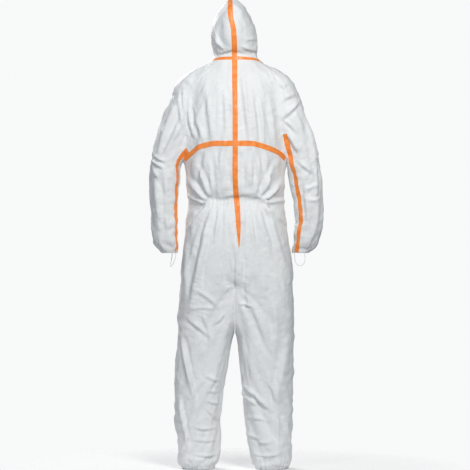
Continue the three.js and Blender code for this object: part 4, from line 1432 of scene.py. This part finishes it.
satin = label.noise(800, 2, stretch=(0.2, 1, 1))
label.feed("Base Color", label.ramp(satin, (0.3, (0.84, 0.84, 0.85)), (0.7, (0.93, 0.93, 0.93))))
label.feed("Normal", label.bump(satin, 0.2, 0.0002))
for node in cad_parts:
    piece = bpy.data.objects[node]
    if "elastic" in node:
        ribbed.on(piece)
    elif node.startswith("zip_tape"):
        woven.on(piece)
    elif node.startswith("zip_"):
        plastic.on(piece)
    elif "liner" in node:
        paper.on(piece)
    elif "label" in node:
        label.on(piece)
ribbed.on(waist_strip)
label.on(label_strip)
for name, _, _ in SIDES:
    plastic.on(bpy.data.objects[f"zip_coil_teeth_{name}"])
    ribbed.on(*(bpy.data.objects[f"{n}_{name}"] for n in ("cuff_elastic_strip", "thumb_loop_cord")))
print("materials:", len(bpy.data.materials))

# %% [markdown]
# ## Floor and light
# A pale round floor that fades out at its rim, a soft light above and behind the suit, a weaker one
# beside it, a large one in front, and an even pale surround.

# %% Floor
FLOOR_RADIUS, FLOOR_Z, RINGS, AROUND = 1.6, -0.0002, 8, 64
out = np.linspace(0.0, FLOOR_RADIUS, RINGS + 1)[1:]
radius, ring = np.meshgrid(out, np.linspace(0, 2 * np.pi, AROUND, endpoint=False), indexing="ij")
disc = np.stack([radius * np.cos(ring), radius * np.sin(ring), 0 * radius + FLOOR_Z], 2)
disc_points = np.concatenate([disc.reshape(-1, 3), [[0, 0, FLOOR_Z]]])
j = np.arange(AROUND)
fan = np.stack([np.full(AROUND, RINGS * AROUND), j, (j + 1) % AROUND], 1)
disc_faces = list(grid_faces(RINGS, AROUND, True)[:, ::-1]) + list(fan)
floor = show("floor", mesh_from("floor", disc_points, disc_faces))
ground = Finish("pale_floor", (0.9, 0.9, 0.9), 0.8)
east, north = (ground.node("ShaderNodeSeparateXYZ", {}, {0: ground.places()}, k) for k in ("X", "Y"))
ground.feed("Alpha", (1 - (east * east + north * north).between(0.12, 0.8)) * 0.8)
ground.on(floor)


# %% Lights
def softbox(name, place, aim, size, watts, colour):
    lamp = bpy.data.lights.new(name, "AREA")
    lamp.shape, lamp.size, lamp.energy, lamp.color = "DISK", size, watts, colour
    piece = show(name, lamp)
    piece.location = place
    piece.rotation_euler = (Vector(aim) - Vector(place)).to_track_quat("-Z", "Y").to_euler()
    return piece


softbox("key_light", (-1.0, 3.3, 3.0), (0, 0, 1.15), 1.0, 98, (1.0, 0.985, 0.96))
softbox("side_light", (1.9, 3.3, 2.2), (0, 0, 1.1), 1.4, 30, (0.95, 0.97, 1.0))
softbox("front_light", (1.8, -3.4, 3.0), (0, 0, 0.95), 2.0, 150, (1.0, 0.99, 0.97))
world = bpy.data.worlds.new("pale_surround")
bpy.context.scene.world = world
world.use_nodes = True
tree = world.node_tree
surround = tree.nodes["Background"]
surround.inputs["Color"].default_value = (0.88, 0.93, 1.0, 1)
surround.inputs["Strength"].default_value = 0.27
seen = tree.nodes.new("ShaderNodeBackground")
seen.inputs["Color"].default_value = (0.94, 0.945, 0.95, 1)
seen.inputs["Strength"].default_value = 1.0
path = tree.nodes.new("ShaderNodeLightPath")
mix = tree.nodes.new("ShaderNodeMixShader")
tree.links.new(path.outputs["Is Camera Ray"], mix.inputs[0])
tree.links.new(surround.outputs[0], mix.inputs[1])
tree.links.new(seen.outputs[0], mix.inputs[2])
tree.links.new(mix.outputs[0], tree.nodes["World Output"].inputs[0])
bpy.context.scene.view_settings.view_transform = "Standard"
print("lights: 3 softboxes and a pale surround")
